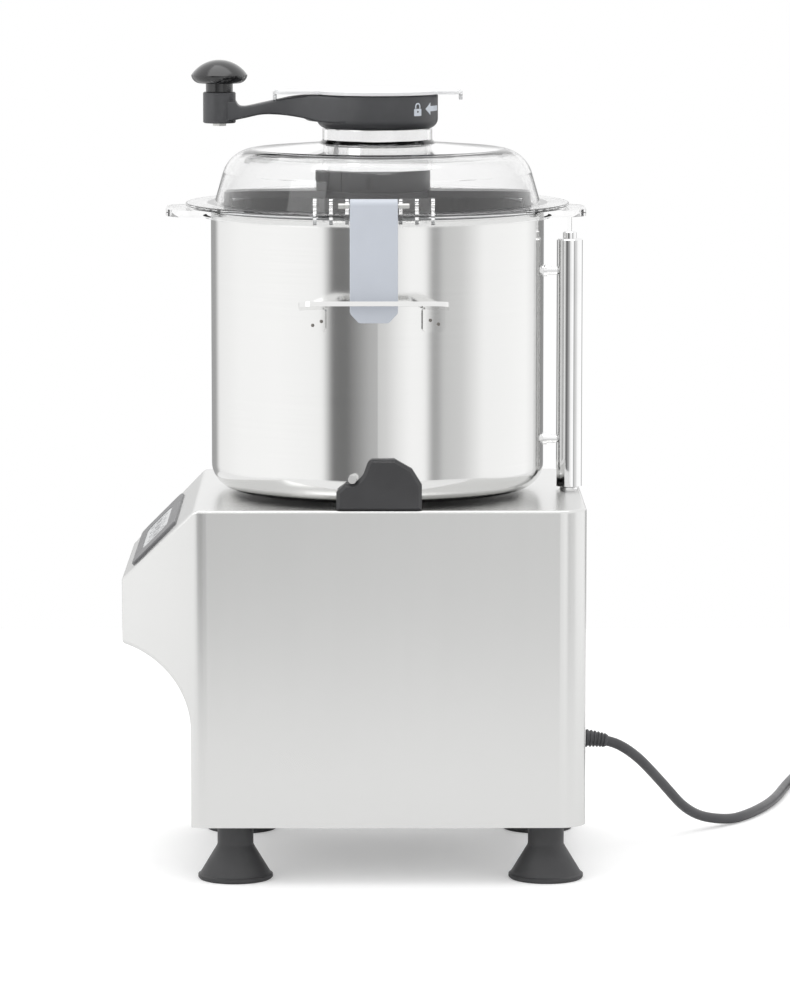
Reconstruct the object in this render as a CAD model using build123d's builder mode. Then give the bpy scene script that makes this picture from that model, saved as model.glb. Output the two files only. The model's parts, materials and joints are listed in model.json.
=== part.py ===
from build123d import *
from math import cos, radians, sin, sqrt, tan
import os

os.makedirs("parts", exist_ok=True)

# A bowl cutter on a square stand, with its control nose towards -Y and the floor at height 0.
# A "reach" is a distance from the bowl's axis along Y, and a "level" is a height above the floor.

# Clearances
gap = 0.3
fit = 0.05
weld_gap = 0.05

# Stand
foot_h = 42.0
foot_base_r = 27.0
foot_rim_h = 4.0
foot_cone_h = 20.0
foot_neck_r = 13.0
foot_bolt_r = 4.0
foot_in = 31.5
foot_front_in = 31.0
foot_rear_in = 27.9
sheet = 1.5
housing_h = 229.3
stop_wall = 5.8
nose_reach = 184.0
nose_depth = 50.0
nose_drop = 53.3
nose_face_h = 47.0
nose_w = 190.0
under_arc_h = 59.5
flank_lead = 8.7
flank_bend_r = 25.0
flank_bend_deg = 22.0
rear_corner_r = 19.5
top_bend_r = 6.0
nose_edge_r = 3.0
rim_edge_r = 2.0
base_plate_t = 2.0
base_flange_h = 12.0
vent_l = 46.0
vent_w = 6.0
vent_step = 14.0
vent_row_step = 60.0
vent_count = 8

# Control panel on the nose
bezel_w = 178.0
bezel_h = 44.0
bezel_t = 2.3
bezel_corner_r = 9.0
bezel_down = 4.6
window_w = 110.0
window_h = 26.0
window_chamfer = 5.0
window_depth = 0.9
board_w = 150.0
board_h = 38.0
board_t = 1.6
board_post_h = 8.0

# Bowl
bowl_r = 121.7
bowl_wall = 1.2
bowl_h = 204.2
bowl_lift_gap = 2.5
bowl_corner_r = 18.0
tube_r = 15.0
tube_bore_r = 11.5
tube_h = 68.0
tube_flange_r = 24.0
handle_side_shift = -2.7
handle_w = 106.5
handle_bar_w = 5.0
handle_t = 3.4
handle_level = 421.1
handle_rise_deg = 9.0
handle_corner_r = 12.0
handle_arm_w = 17.0
handle_flange_w = 16.0
handle_flange_h = 18.0
handle_flange_t = 2.0
handle_flange_r = 3.0
handle_flange_drop = 23.2
lug_r = 3.0
lug_side = 18.2

# Bowl stops on the housing
stop_front = 29.5
stop_rear = 31.4
stop_h = 36.6
stop_shoulder_h = 19.0
stop_bevel = 3.0

# Safety rod behind the bowl
rod_gap = 9.65
rod_r = 9.45
rod_wall = 1.4
rod_h = 182.0
push_rod_r = 5.0
push_rod_top = 5.2
rod_post_r = 3.1
rod_post_low = 34.8
rod_post_high = 158.7
rod_travel = 2.0
spring_wire_r = 0.6
spring_turns = 7
spring_h = 26.0
plunger_r = 6.8
plunger_stem_r = 3.0
switch_wall = 8.6

# Lid
lid_wall = 2.8
lid_skirt_gap = 2.8
lid_skirt_wall = 2.5
lid_skirt_h = 7.7
lid_brim = 13.0
gasket_h = 2.2
dome_inset = 8.0
dome_side_h = 21.0
dome_side_in = 6.0
dome_shoulder_in = 27.0
dome_shoulder_h = 18.0
cone_h = 4.0
neck_r = 40.0
neck_fillet_r = 2.5
neck_h = 12.9
collar_h = 15.0
tab_w = 80.0
tab_front = 14.0
tab_rear = 12.0
tab_t = 5.0
tab_drop = 4.0
tab_corner_r = 24.0
lid_pin_r = 1.5

# Side latches hung from the lid
latch_w = 34.0
latch_t = 3.0
latch_h = 87.4
latch_chamfer = 7.0
barrel_r = 5.0
hinge_pin_r = 2.0
ear_w = 85.8
ear_drop = 5.0
ear_back = 13.0
ear_fins = 3
ear_fin_t = 2.5
ear_rib_back = 8.0
hinge_pin_out = 8.0

# Crank and scraper
hub_r = 44.2
hub_h = 25.0
hub_edge_r = 7.2
hub_bore_r = 33.5
sleeve_wall = 3.0
ring_wall = 2.0
ring_h = 18.0
ring_lobe_out = 6.2
ring_lobe_w = 30.0
ring_groove_w = 5.0
ring_groove_side = 24.5
ring_groove_depth = 0.9
ring_slot_w = 5.0
ring_slot_h = 12.0
ring_slot_side = 6.0
arm_reach = 115.2
boss_r = 11.9
boss_h = 22.7
boss_rise = 1.4
knob_neck_r = 9.8
knob_neck_h = 6.0
knob_r = 20.5
knob_h = 17.0
knob_edge_h = 6.0
knob_screw_r = 3.0
scraper_gap = 9.7
scraper_lip_gap = 1.0
scraper_lip_t = 2.0
scraper_t = 5.0
scraper_w = 22.0
scraper_low = 300.0
cover_t = 2.2
cover_r = 46.0
cover_front = 76.0
cover_rear = 62.0
cover_tab_w = 38.0
cover_lip_h = 4.2

# Drive and blades
shaft_r = 9.5
shaft_flat = 7.5
drive_h = 18.0
motor_r = 72.0
motor_h = 128.0
motor_wall = 3.0
motor_drop = 22.0
bell_t = 9.0
stator_bore_r = 38.0
air_gap = 0.6
bearing_r = 17.0
bearing_w = 10.0
plate_w = 176.0
plate_t = 5.0
fan_r = 58.0
fan_h = 9.0
fan_blade_w = 34.0
fan_blade_t = 2.0
rotor_in = 22.0
seat_r = 48.0
blade_hub_r = 21.0
blade_cap_h = 20.0
blade_gap = 23.7
blade_t = 2.4
blade_edge_w = 6.0
blade_edge_t = 1.9
blade_edge_lead = 4.0
lower_blade_turn = 20.0
half_turn = 180.0
blade_root = 26.0
blade_spacing = 32.0

# Cord
cord_d = 7.6
cord_exit_up = 43.8
gland_r = 8.5
gland_t = 3.0
strain_relief_h = 12.0
coil_x = -340.0
coil_reach = 391.6
coil_r = 38.5
coil_turns_wide = 3
coil_turns_high = 2
plug_r = 17.0
plug_rear_r = 8.0
plug_h = 38.0
plug_pin_r = 2.4
plug_pin_h = 19.0
plug_pin_step = 19.0

# Places worked out from the sizes
lid_skirt_r = bowl_r + lid_skirt_gap + lid_skirt_wall
lid_r = lid_skirt_r + lid_brim
axis_y = (nose_reach - lid_r - tab_rear) / 2
housing_w = 2 * (bowl_r + stop_wall)
housing_top = foot_h + housing_h
rod_reach = bowl_r + rod_gap + rod_r
rear_reach = rod_reach + switch_wall
front_reach = nose_reach - nose_depth
foot_x = housing_w / 2 - foot_in
foot_front_reach = front_reach - foot_front_in
foot_rear_reach = rear_reach - foot_rear_in
nose_top = housing_top - nose_drop
nose_low = nose_top - nose_face_h
under_arc_z = nose_low - under_arc_h
slope_reach = nose_reach - nose_drop
flank_start = slope_reach - flank_lead
bowl_z = housing_top + bowl_lift_gap
bowl_top = bowl_z + bowl_h
lug_z = housing_top + stop_shoulder_h + lug_r + gap
lid_z = bowl_top + gasket_h
lid_top = lid_z + lid_wall
ear_low = lid_z - ear_drop
dome_r = lid_skirt_r - dome_inset
shoulder_z = lid_top + dome_side_h + dome_shoulder_h
cone_z = shoulder_z + cone_h
neck_top = cone_z + neck_h - neck_fillet_r
collar_z = cone_z - collar_h - lid_wall
hub_z = neck_top + gap
hub_top = hub_z + hub_h
pin_x = lid_r - 1.5
pin_z = lid_top + barrel_r + 0.9
latch_x = pin_x + barrel_r - latch_t
handle_x = pin_x + barrel_r + 3.5 + handle_bar_w
shaft_top = bowl_z + tube_h + drive_h
scraper_r = bowl_r - scraper_gap
scraper_lip_r = bowl_r - bowl_wall - scraper_lip_gap
blade_r = bowl_r - blade_gap
blade_edge_r = 0.58 * blade_r
motor_top = housing_top - motor_drop

side_plane = Plane(origin=(0, axis_y, 0), x_dir=(0, 1, 0), z_dir=(1, 0, 0))
turn_plane = Plane(origin=(0, axis_y, 0), x_dir=(1, 0, 0), z_dir=(0, -1, 0))
bowl_axis = Axis((0, axis_y, 0), (0, 0, 1))
slope_middle = (nose_reach + slope_reach) / 2 + bezel_down / sqrt(2)
slope_plane = Plane(
    origin=(0, axis_y - slope_middle, nose_top + nose_reach - slope_middle),
    x_dir=(1, 0, 0),
    z_dir=(0, -1, 1),
)


def level(height):
    """The horizontal plane at a height, with its origin on the bowl's axis."""
    return Plane(origin=(0, axis_y, height))


def turned(outline):
    """A closed outline of (radius, height) points turned about the bowl's axis."""
    with BuildPart() as form:
        with BuildSketch(turn_plane):
            with BuildLine():
                Polyline(*outline, close=True)
            make_face()
        revolve(axis=bowl_axis)
    return form.part


def ring(outer_r, inner_r, low, high):
    """A plain ring about the bowl's axis."""
    return turned([(inner_r, low), (outer_r, low), (outer_r, high), (inner_r, high)])


# Housing

def housing_block(inset, base):
    """The closed form of the housing, with its walls moved in by the inset."""
    with BuildPart() as block:
        with BuildSketch(side_plane):
            with BuildLine():
                Polyline(
                    (-front_reach, under_arc_z),
                    (-front_reach, base),
                    (rear_reach, base),
                    (rear_reach, housing_top),
                    (-slope_reach, housing_top),
                    (-nose_reach, nose_top),
                    (-nose_reach, nose_low),
                )
                TangentArc((-front_reach, under_arc_z), (-nose_reach, nose_low), tangent=(0, 1))
            make_face()
            if inset:
                offset(amount=-inset, kind=Kind.INTERSECTION)
        extrude(amount=housing_w / 2, both=True)
        with BuildSketch(level(0)) as plan:
            with BuildLine():
                Polyline((0, rear_reach), (housing_w / 2, rear_reach), (housing_w / 2, -flank_start))
                bend = JernArc((housing_w / 2, -flank_start), (0, -1), flank_bend_r, -flank_bend_deg)
                flank = TangentArc(bend @ 1, (nose_w / 2, -nose_reach), tangent=bend % 1)
                Line(flank @ 1, (0, -nose_reach))
                mirror(about=Plane.YZ)
            make_face()
            fillet(plan.vertices().group_by(Axis.Y)[-1], radius=rear_corner_r)
            if inset:
                offset(amount=-inset, kind=Kind.INTERSECTION)
        extrude(amount=housing_top + 1, mode=Mode.INTERSECT)
    return block.part


def lies_at(edge, reach=None, height=None):
    """Whether an edge's middle is at a place along Y, a height, or both."""
    middle = edge.center()
    at_reach = reach is None or abs(middle.Y - axis_y - reach) < gap
    return at_reach and (height is None or abs(middle.Z - height) < gap)


def on_nose(edge):
    """Whether an edge bounds the nose's face, its flanks or the stand's front below it."""
    middle = edge.center()
    if middle.Y - axis_y > 1 - front_reach or lies_at(edge, height=foot_h):
        return False
    across = abs(edge.tangent_at(0.5).X) > 0.9
    return lies_at(edge, reach=-nose_reach) if across else middle.Z < nose_top - 1


def on_rim(edge):
    """Whether an edge bounds the housing's top or its sloping panel."""
    middle = edge.center()
    if lies_at(edge, height=housing_top):
        return middle.Y > axis_y - flank_start or abs(edge.tangent_at(0.5).X) < 0.9
    return middle.Z > nose_top + 1 and middle.Y < axis_y - front_reach / 2 and abs(middle.X) > nose_w / 3


with BuildPart() as housing_shell:
    add(housing_block(0, foot_h))
    bend_line = housing_shell.edges().filter_by(Axis.X)
    fillet(bend_line.filter_by(lambda e: lies_at(e, -slope_reach, housing_top)), radius=top_bend_r)
    fillet(housing_shell.edges().filter_by(on_nose), radius=nose_edge_r)
    fillet(housing_shell.edges().filter_by(on_rim), radius=rim_edge_r)
    add(housing_block(sheet, foot_h - 2 * sheet), mode=Mode.SUBTRACT)
    with BuildSketch(level(housing_top)):
        Circle(tube_r)
        with Locations((0, rod_reach)):
            Circle(plunger_r + fit + gap)
    extrude(amount=-2 * sheet, mode=Mode.SUBTRACT)
    with BuildSketch(slope_plane):
        RectangleRounded(bezel_w / 3, bezel_h / 3, bezel_corner_r / 3)
    extrude(amount=-3 * sheet, mode=Mode.SUBTRACT)
    with BuildSketch(Plane(origin=(0, axis_y + rear_reach, foot_h + cord_exit_up), z_dir=(0, 1, 0))):
        Circle(gland_r - 2)
    extrude(amount=-2 * sheet, mode=Mode.SUBTRACT)

plate_z = foot_h + gap
with BuildPart() as base_plate:
    edge_in = sheet + gap
    add(housing_block(edge_in, plate_z - edge_in))
    with BuildSketch(level(plate_z + base_flange_h)):
        Rectangle(2 * housing_w, 4 * nose_reach)
    extrude(amount=housing_h, mode=Mode.SUBTRACT)
    inner_in = edge_in + base_plate_t
    add(housing_block(inner_in, plate_z + base_plate_t - inner_in), mode=Mode.SUBTRACT)
    with BuildSketch(level(plate_z)):
        with GridLocations(vent_step, vent_row_step, vent_count, 2):
            SlotOverall(vent_l, vent_w, rotation=90)
        with Locations(
            (foot_x, -foot_front_reach),
            (-foot_x, -foot_front_reach),
            (foot_x, foot_rear_reach),
            (-foot_x, foot_rear_reach),
        ):
            Circle(foot_bolt_r + gap)
    extrude(amount=base_plate_t, mode=Mode.SUBTRACT)

foot_places = {
    "foot_front_right": (foot_x, -foot_front_reach),
    "foot_front_left": (-foot_x, -foot_front_reach),
    "foot_rear_right": (foot_x, foot_rear_reach),
    "foot_rear_left": (-foot_x, foot_rear_reach),
}


def make_foot(x, reach):
    """A flared rubber foot with a hollow sole, a conical skirt and a straight neck."""
    foot_axis_y = axis_y + reach
    foot_plane = Plane(origin=(x, foot_axis_y, 0), x_dir=(1, 0, 0), z_dir=(0, -1, 0))
    cone_top = foot_rim_h + foot_cone_h
    with BuildPart() as foot:
        with BuildSketch(foot_plane):
            with BuildLine():
                Polyline(
                    (0, 1.5),
                    (foot_base_r - 6, 1.5),
                    (foot_base_r - 5, 0),
                    (foot_base_r - 1, 0),
                    (foot_base_r, 1),
                    (foot_base_r, foot_rim_h - 1),
                    (foot_base_r - 1.5, foot_rim_h),
                    (foot_neck_r + 1, cone_top - 1),
                    (foot_neck_r, cone_top + 1),
                    (foot_neck_r, plate_z),
                    (foot_bolt_r + fit, plate_z),
                    (foot_bolt_r + fit, cone_top),
                    (0, cone_top),
                    close=True,
                )
            make_face()
        revolve(axis=Axis((x, foot_axis_y, 0), (0, 0, 1)))
    return foot


feet = {name: make_foot(x, reach) for name, (x, reach) in foot_places.items()}

with BuildPart() as foot_bolts:
    bolt_low = foot_rim_h + foot_cone_h + gap
    with BuildSketch(level(bolt_low)):
        with Locations(*foot_places.values()):
            Circle(foot_bolt_r)
    extrude(amount=plate_z + base_plate_t + 9 - bolt_low)
    with BuildSketch(level(plate_z + base_plate_t)):
        with Locations(*foot_places.values()):
            RegularPolygon(7.0, 6)
    extrude(amount=6.5)

# Control panel

with BuildPart() as panel_bezel:
    with BuildSketch(slope_plane):
        RectangleRounded(bezel_w, bezel_h, bezel_corner_r)
    extrude(amount=bezel_t)
    chamfer(panel_bezel.faces().sort_by(Axis((0, 0, 0), (0, -1, 1)))[-1].edges(), length=0.8)
    with BuildSketch(slope_plane.offset(bezel_t - window_depth)) as window:
        Rectangle(window_w, window_h)
        chamfer(window.vertices(), length=window_chamfer)
    extrude(amount=bezel_t, mode=Mode.SUBTRACT)

with BuildPart() as panel_display:
    with BuildSketch(slope_plane.offset(bezel_t - window_depth)) as pane:
        Rectangle(window_w - 2 * fit, window_h - 2 * fit)
        chamfer(pane.vertices(), length=window_chamfer)
    extrude(amount=window_depth - 0.3)

with BuildPart() as control_board:
    with BuildSketch(slope_plane.offset(-sheet - board_post_h)):
        Rectangle(board_w, board_h)
    extrude(amount=-board_t)
    with BuildSketch(slope_plane.offset(-sheet - gap)):
        with GridLocations(board_w - 10, board_h - 10, 2, 2):
            Circle(3)
    extrude(amount=gap - board_post_h)
    with BuildSketch(slope_plane.offset(-sheet - board_post_h - board_t)):
        with GridLocations(36, 0, 3, 1):
            Rectangle(22, 18)
    extrude(amount=-9)

# Motor, hung under the housing's top

bell_z = motor_top - plate_t - bell_t
case_low = bell_z - motor_h
with BuildPart() as motor_plate:
    with BuildSketch(level(motor_top - plate_t)):
        RectangleRounded(plate_w, plate_w, 12)
        Circle(bearing_r + 6, mode=Mode.SUBTRACT)
    extrude(amount=plate_t)

with BuildPart() as motor_posts:
    post_grid = plate_w - 24
    with BuildSketch(level(motor_top)):
        with GridLocations(post_grid, post_grid, 2, 2):
            RegularPolygon(8, 6)
    extrude(amount=housing_top - sheet - motor_top)
    with BuildSketch(level(motor_top - plate_t)):
        with GridLocations(post_grid, post_grid, 2, 2):
            Circle(7)
    extrude(amount=-4)

with BuildPart() as motor_case:
    add(ring(motor_r, motor_r - motor_wall, case_low, bell_z))
    with BuildSketch(level(case_low + 6)):
        with PolarLocations(motor_r + 2, 24):
            Rectangle(5, 2.4)
    extrude(amount=motor_h - 12)

with BuildPart() as stator:
    add(ring(motor_r - motor_wall - fit, stator_bore_r, case_low + 24, bell_z - 24))
    add(ring(motor_r - 12, stator_bore_r + 6, bell_z - 24, bell_z - 8))
    add(ring(motor_r - 12, stator_bore_r + 6, case_low + 8, case_low + 24))

with BuildPart() as motor_top_bell:
    add(ring(motor_r, bearing_r + fit, bell_z, bell_z + bell_t))
    add(ring(bearing_r + 5, shaft_r + 2, bell_z + bell_t, bell_z + bell_t + 3))

with BuildPart() as motor_bottom_bell:
    add(ring(motor_r, bearing_r + fit, case_low - bell_t, case_low))
    add(ring(bearing_r + 5, shaft_r + 2, case_low - bell_t - 3, case_low - bell_t))

upper_bearing_z = bell_z + bell_t - bearing_w
lower_bearing_z = case_low - bell_t
with BuildPart() as upper_bearing:
    add(ring(bearing_r, shaft_r + fit, upper_bearing_z, upper_bearing_z + bearing_w))

with BuildPart() as lower_bearing:
    add(ring(bearing_r, shaft_r + fit, lower_bearing_z, lower_bearing_z + bearing_w))

with BuildPart() as rotor:
    add(ring(stator_bore_r - air_gap, shaft_r + fit, case_low + rotor_in, bell_z - rotor_in))

fan_z = case_low - bell_t - 3 - gap - fan_h
with BuildPart() as cooling_fan:
    add(ring(shaft_r + 5, shaft_r + fit, fan_z - 3, fan_z + fan_h))
    add(ring(fan_r - 2, shaft_r + 5, fan_z - 1.5, fan_z))
    with BuildSketch(level(fan_z)):
        with PolarLocations(shaft_r + 26, 9):
            Rectangle(fan_blade_w, fan_blade_t)
    extrude(amount=fan_h)

with BuildPart() as drive_shaft:
    with BuildSketch(level(fan_z - 5)):
        Circle(shaft_r)
    extrude(amount=shaft_top - drive_h - fan_z + 5)
    with BuildSketch(level(shaft_top - drive_h)):
        Circle(shaft_r)
        Rectangle(2 * shaft_flat, 4 * shaft_r, mode=Mode.INTERSECT)
    extrude(amount=drive_h)
    chamfer(drive_shaft.edges().group_by(Axis.Z)[-1], length=1)

with BuildPart() as bowl_seat:
    add(ring(seat_r, tube_r - 1, housing_top, bowl_z - gap))
    add(ring(tube_r - fit, tube_r - 1, housing_top - 6, housing_top))

with BuildPart() as shaft_seal:
    seal_low = housing_top - 6
    add(ring(tube_r - 1 - fit, shaft_r + fit, seal_low, bowl_z - gap - 0.4))

with BuildPart() as run_capacitor:
    with BuildSketch(Plane(origin=(-housing_w / 2 + 32, axis_y + 60, plate_z + base_plate_t))):
        Circle(17)
    extrude(amount=62)
    chamfer(run_capacitor.edges().group_by(Axis.Z)[-1], length=1.5)

# Bowl stops on both sides of the housing

with BuildPart() as bowl_stop_right:
    shoulder = housing_top + stop_shoulder_h
    stop_top = housing_top + stop_h
    with BuildSketch(side_plane):
        with BuildLine():
            Polyline(
                (-stop_front, housing_top),
                (-stop_front, shoulder - 6),
                (6 - stop_front, shoulder),
                (13 - stop_front, shoulder),
                (19 - stop_front, shoulder + 6.5),
            )
            Spline(
                (19 - stop_front, shoulder + 6.5),
                (21.5 - stop_front, shoulder + 13),
                (26.5 - stop_front, stop_top),
                tangents=[(0.5, 1), (1, 0)],
            )
            Polyline(
                (26.5 - stop_front, stop_top),
                (stop_rear - 19, stop_top),
                (stop_rear - 7, stop_top - 7),
                (stop_rear, stop_top - 18.5),
                (stop_rear, housing_top),
                (-stop_front, housing_top),
            )
        make_face()
    extrude(amount=housing_w / 2)
    chamfer(bowl_stop_right.faces().sort_by(Axis.X)[-1].edges(), length=stop_bevel - 0.6)
    add(ring(bowl_r + gap, 1, housing_top - 1, bowl_top), mode=Mode.SUBTRACT)
    with BuildSketch(level(housing_top - 1)):
        Circle(bowl_r + gap)
        Rectangle(2 * bowl_r - 10, 2 * bowl_r)
    extrude(amount=stop_h + 2, mode=Mode.SUBTRACT)

with BuildPart() as bowl_stop_left:
    add(bowl_stop_right.part)
    mirror(about=Plane.YZ, mode=Mode.REPLACE)

# Bowl with its centre tube, handles and lugs

floor_z = bowl_z + bowl_wall
with BuildPart() as bowl_shell:
    with BuildSketch(turn_plane):
        with BuildLine():
            Polyline(
                (tube_bore_r + 0.5, bowl_z),
                (bowl_r - bowl_corner_r, bowl_z),
            )
            RadiusArc(
                (bowl_r - bowl_corner_r, bowl_z),
                (bowl_r, bowl_z + bowl_corner_r),
                -bowl_corner_r,
            )
            Polyline(
                (bowl_r, bowl_z + bowl_corner_r),
                (bowl_r, bowl_top - 2),
                (bowl_r + 0.8, bowl_top - 1.4),
                (bowl_r + 0.8, bowl_top - 0.6),
                (bowl_r, bowl_top),
                (bowl_r - bowl_wall, bowl_top),
                (bowl_r - bowl_wall, bowl_z + bowl_corner_r),
            )
            RadiusArc(
                (bowl_r - bowl_wall, bowl_z + bowl_corner_r),
                (bowl_r - bowl_corner_r, floor_z),
                bowl_corner_r - bowl_wall,
            )
            Polyline(
                (bowl_r - bowl_corner_r, floor_z),
                (tube_bore_r + 0.5, floor_z),
                (tube_bore_r + 0.5, bowl_z),
            )
        make_face()
    revolve(axis=bowl_axis)

tube_top = floor_z + tube_h - drive_h
with BuildPart() as bowl_tube:
    add(ring(tube_r, tube_bore_r, floor_z, tube_top))
    add(ring(tube_flange_r, tube_bore_r, floor_z, floor_z + 1.5))
    fillet(
        bowl_tube.edges().filter_by(GeomType.CIRCLE).filter_by(
            lambda e: abs(e.radius - tube_r) < fit and e.center().Z < floor_z + 2
        ),
        radius=4,
    )


def wall_block(sketch_level, height):
    """A block that fills the bowl's round wall, to be cut from what is welded to it."""
    with BuildPart() as wall:
        with BuildSketch(level(sketch_level)):
            Circle(bowl_r + weld_gap)
        extrude(amount=height)
    return wall.part


handle_rise = radians(handle_rise_deg)
grip_plane = Plane(
    origin=(handle_x, axis_y + handle_side_shift, handle_level),
    x_dir=(cos(handle_rise), 0, sin(handle_rise)),
    z_dir=(-sin(handle_rise), 0, cos(handle_rise)),
)
flange_z = handle_level - handle_flange_drop + handle_flange_h / 2
flange_side = (handle_w - handle_arm_w) / 2 - 2
with BuildPart() as bowl_handle_right:
    with BuildSketch(side_plane):
        with Locations(
            (handle_side_shift - flange_side, flange_z),
            (handle_side_shift + flange_side, flange_z),
        ):
            RectangleRounded(handle_flange_w, handle_flange_h, handle_flange_r)
    extrude(amount=bowl_r)
    with BuildSketch(level(flange_z - handle_flange_h)):
        Circle(bowl_r + weld_gap + handle_flange_t)
    extrude(amount=2 * handle_flange_h, mode=Mode.INTERSECT)
    with BuildSketch(grip_plane) as grip:
        with Locations((-handle_x / 2, 0)):
            Rectangle(handle_x, handle_w)
        fillet(grip.vertices().group_by(Axis.X)[-1], radius=handle_corner_r)
        with Locations((-(handle_x + handle_bar_w) / 2, 0)):
            RectangleRounded(
                handle_x - handle_bar_w,
                handle_w - 2 * handle_arm_w,
                handle_corner_r - handle_bar_w,
                mode=Mode.SUBTRACT,
            )
    extrude(amount=handle_t / 2, both=True)
    add(wall_block(flange_z - bowl_h / 2, bowl_h), mode=Mode.SUBTRACT)

with BuildPart() as bowl_handle_left:
    add(bowl_handle_right.part)
    mirror(about=Plane.YZ, mode=Mode.REPLACE)

with BuildPart() as bowl_lugs:
    for side in (1, -1):
        with BuildSketch(Plane(origin=(0, axis_y - lug_side, lug_z), z_dir=(side, 0, 0))):
            Circle(lug_r)
        extrude(amount=bowl_r + stop_wall)
    add(wall_block(lug_z - 2 * lug_r, 4 * lug_r), mode=Mode.SUBTRACT)

# Safety rod: a tube welded behind the bowl, with a sprung rod that the lid pushes down

rod_plane = Plane(origin=(0, axis_y + rod_reach, 0), x_dir=(1, 0, 0), z_dir=(0, -1, 0))
rod_axis = Axis((0, axis_y + rod_reach, 0), (0, 0, 1))
rod_low = bowl_z
rod_top = bowl_z + rod_h
neck_len = 14.0


def rod_turned(*outlines):
    """Closed outlines of (radius, height) points turned about the safety rod's axis."""
    with BuildPart() as form:
        with BuildSketch(rod_plane):
            for outline in outlines:
                with BuildLine():
                    Polyline(*outline, close=True)
                make_face()
        revolve(axis=rod_axis)
    return form.part


with BuildPart() as rod_tube:
    bore = rod_r - rod_wall
    add(
        rod_turned(
            [
                (push_rod_r + fit, rod_low),
                (rod_r, rod_low),
                (rod_r, rod_top - 0.8),
                (rod_r - 0.8, rod_top),
                (push_rod_r + fit, rod_top),
                (push_rod_r + fit, rod_top - neck_len),
                (bore, rod_top - neck_len),
                (bore, rod_low + neck_len),
                (push_rod_r + fit, rod_low + neck_len),
            ]
        )
    )

with BuildPart() as rod_posts:
    for rise in (rod_post_low, rod_post_high):
        post_plane = Plane(origin=(0, axis_y, bowl_z + rise), z_dir=(0, 1, 0))
        with BuildSketch(post_plane):
            Circle(rod_post_r)
        extrude(amount=rod_reach)
        with BuildSketch(post_plane.offset(bowl_r - 1)):
            Circle(rod_post_r + 1.2)
        extrude(amount=3.6)
    add(wall_block(bowl_z, bowl_h), mode=Mode.SUBTRACT)
    with BuildSketch(Plane(origin=(0, axis_y + rod_reach, bowl_z))):
        Circle(rod_r + weld_gap)
    extrude(amount=bowl_h, mode=Mode.SUBTRACT)

with BuildPart() as push_rod:
    with BuildSketch(Plane(origin=(0, axis_y + rod_reach, rod_low))):
        Circle(push_rod_r)
    extrude(amount=rod_h + push_rod_top)
    chamfer(push_rod.edges().group_by(Axis.Z)[-1], length=0.6)
    collar_low = rod_low + neck_len + spring_h + 0.2
    with BuildSketch(Plane(origin=(0, axis_y + rod_reach, collar_low))):
        Circle(rod_r - rod_wall - gap)
    extrude(amount=4)

with BuildPart() as return_spring:
    coil_mid = (push_rod_r + rod_r - rod_wall) / 2
    spring_low = rod_low + neck_len + spring_wire_r
    with BuildLine(Plane(origin=(0, axis_y + rod_reach, spring_low))):
        wire = Helix(
            pitch=(spring_h - 2 * spring_wire_r) / spring_turns,
            height=spring_h - 2 * spring_wire_r,
            radius=coil_mid,
        )
    with BuildSketch(Plane(origin=wire @ 0, z_dir=wire % 0)):
        Circle(spring_wire_r)
    sweep(path=wire, is_frenet=True)

with BuildPart() as switch_plunger:
    with BuildSketch(Plane(origin=(0, axis_y + rod_reach, housing_top - 0.6))):
        Circle(plunger_r)
    extrude(amount=bowl_z - gap - housing_top + 0.6)
    chamfer(switch_plunger.edges().group_by(Axis.Z)[-1], length=0.6)
    with BuildSketch(Plane(origin=(0, axis_y + rod_reach, housing_top - 0.6))):
        Circle(plunger_stem_r)
    extrude(amount=-9)

with BuildPart() as microswitch:
    switch_top = housing_top - 0.6 - 9 - rod_travel - gap
    switch_front = rod_reach - 9
    with BuildSketch(Plane(origin=(0, axis_y, switch_top - 18))):
        with Locations((0, (switch_front + rear_reach - sheet - gap) / 2)):
            Rectangle(26, rear_reach - sheet - gap - switch_front)
    extrude(amount=18)
    fillet(microswitch.edges().filter_by(Axis.Z), radius=1.5)

# Lid

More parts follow.
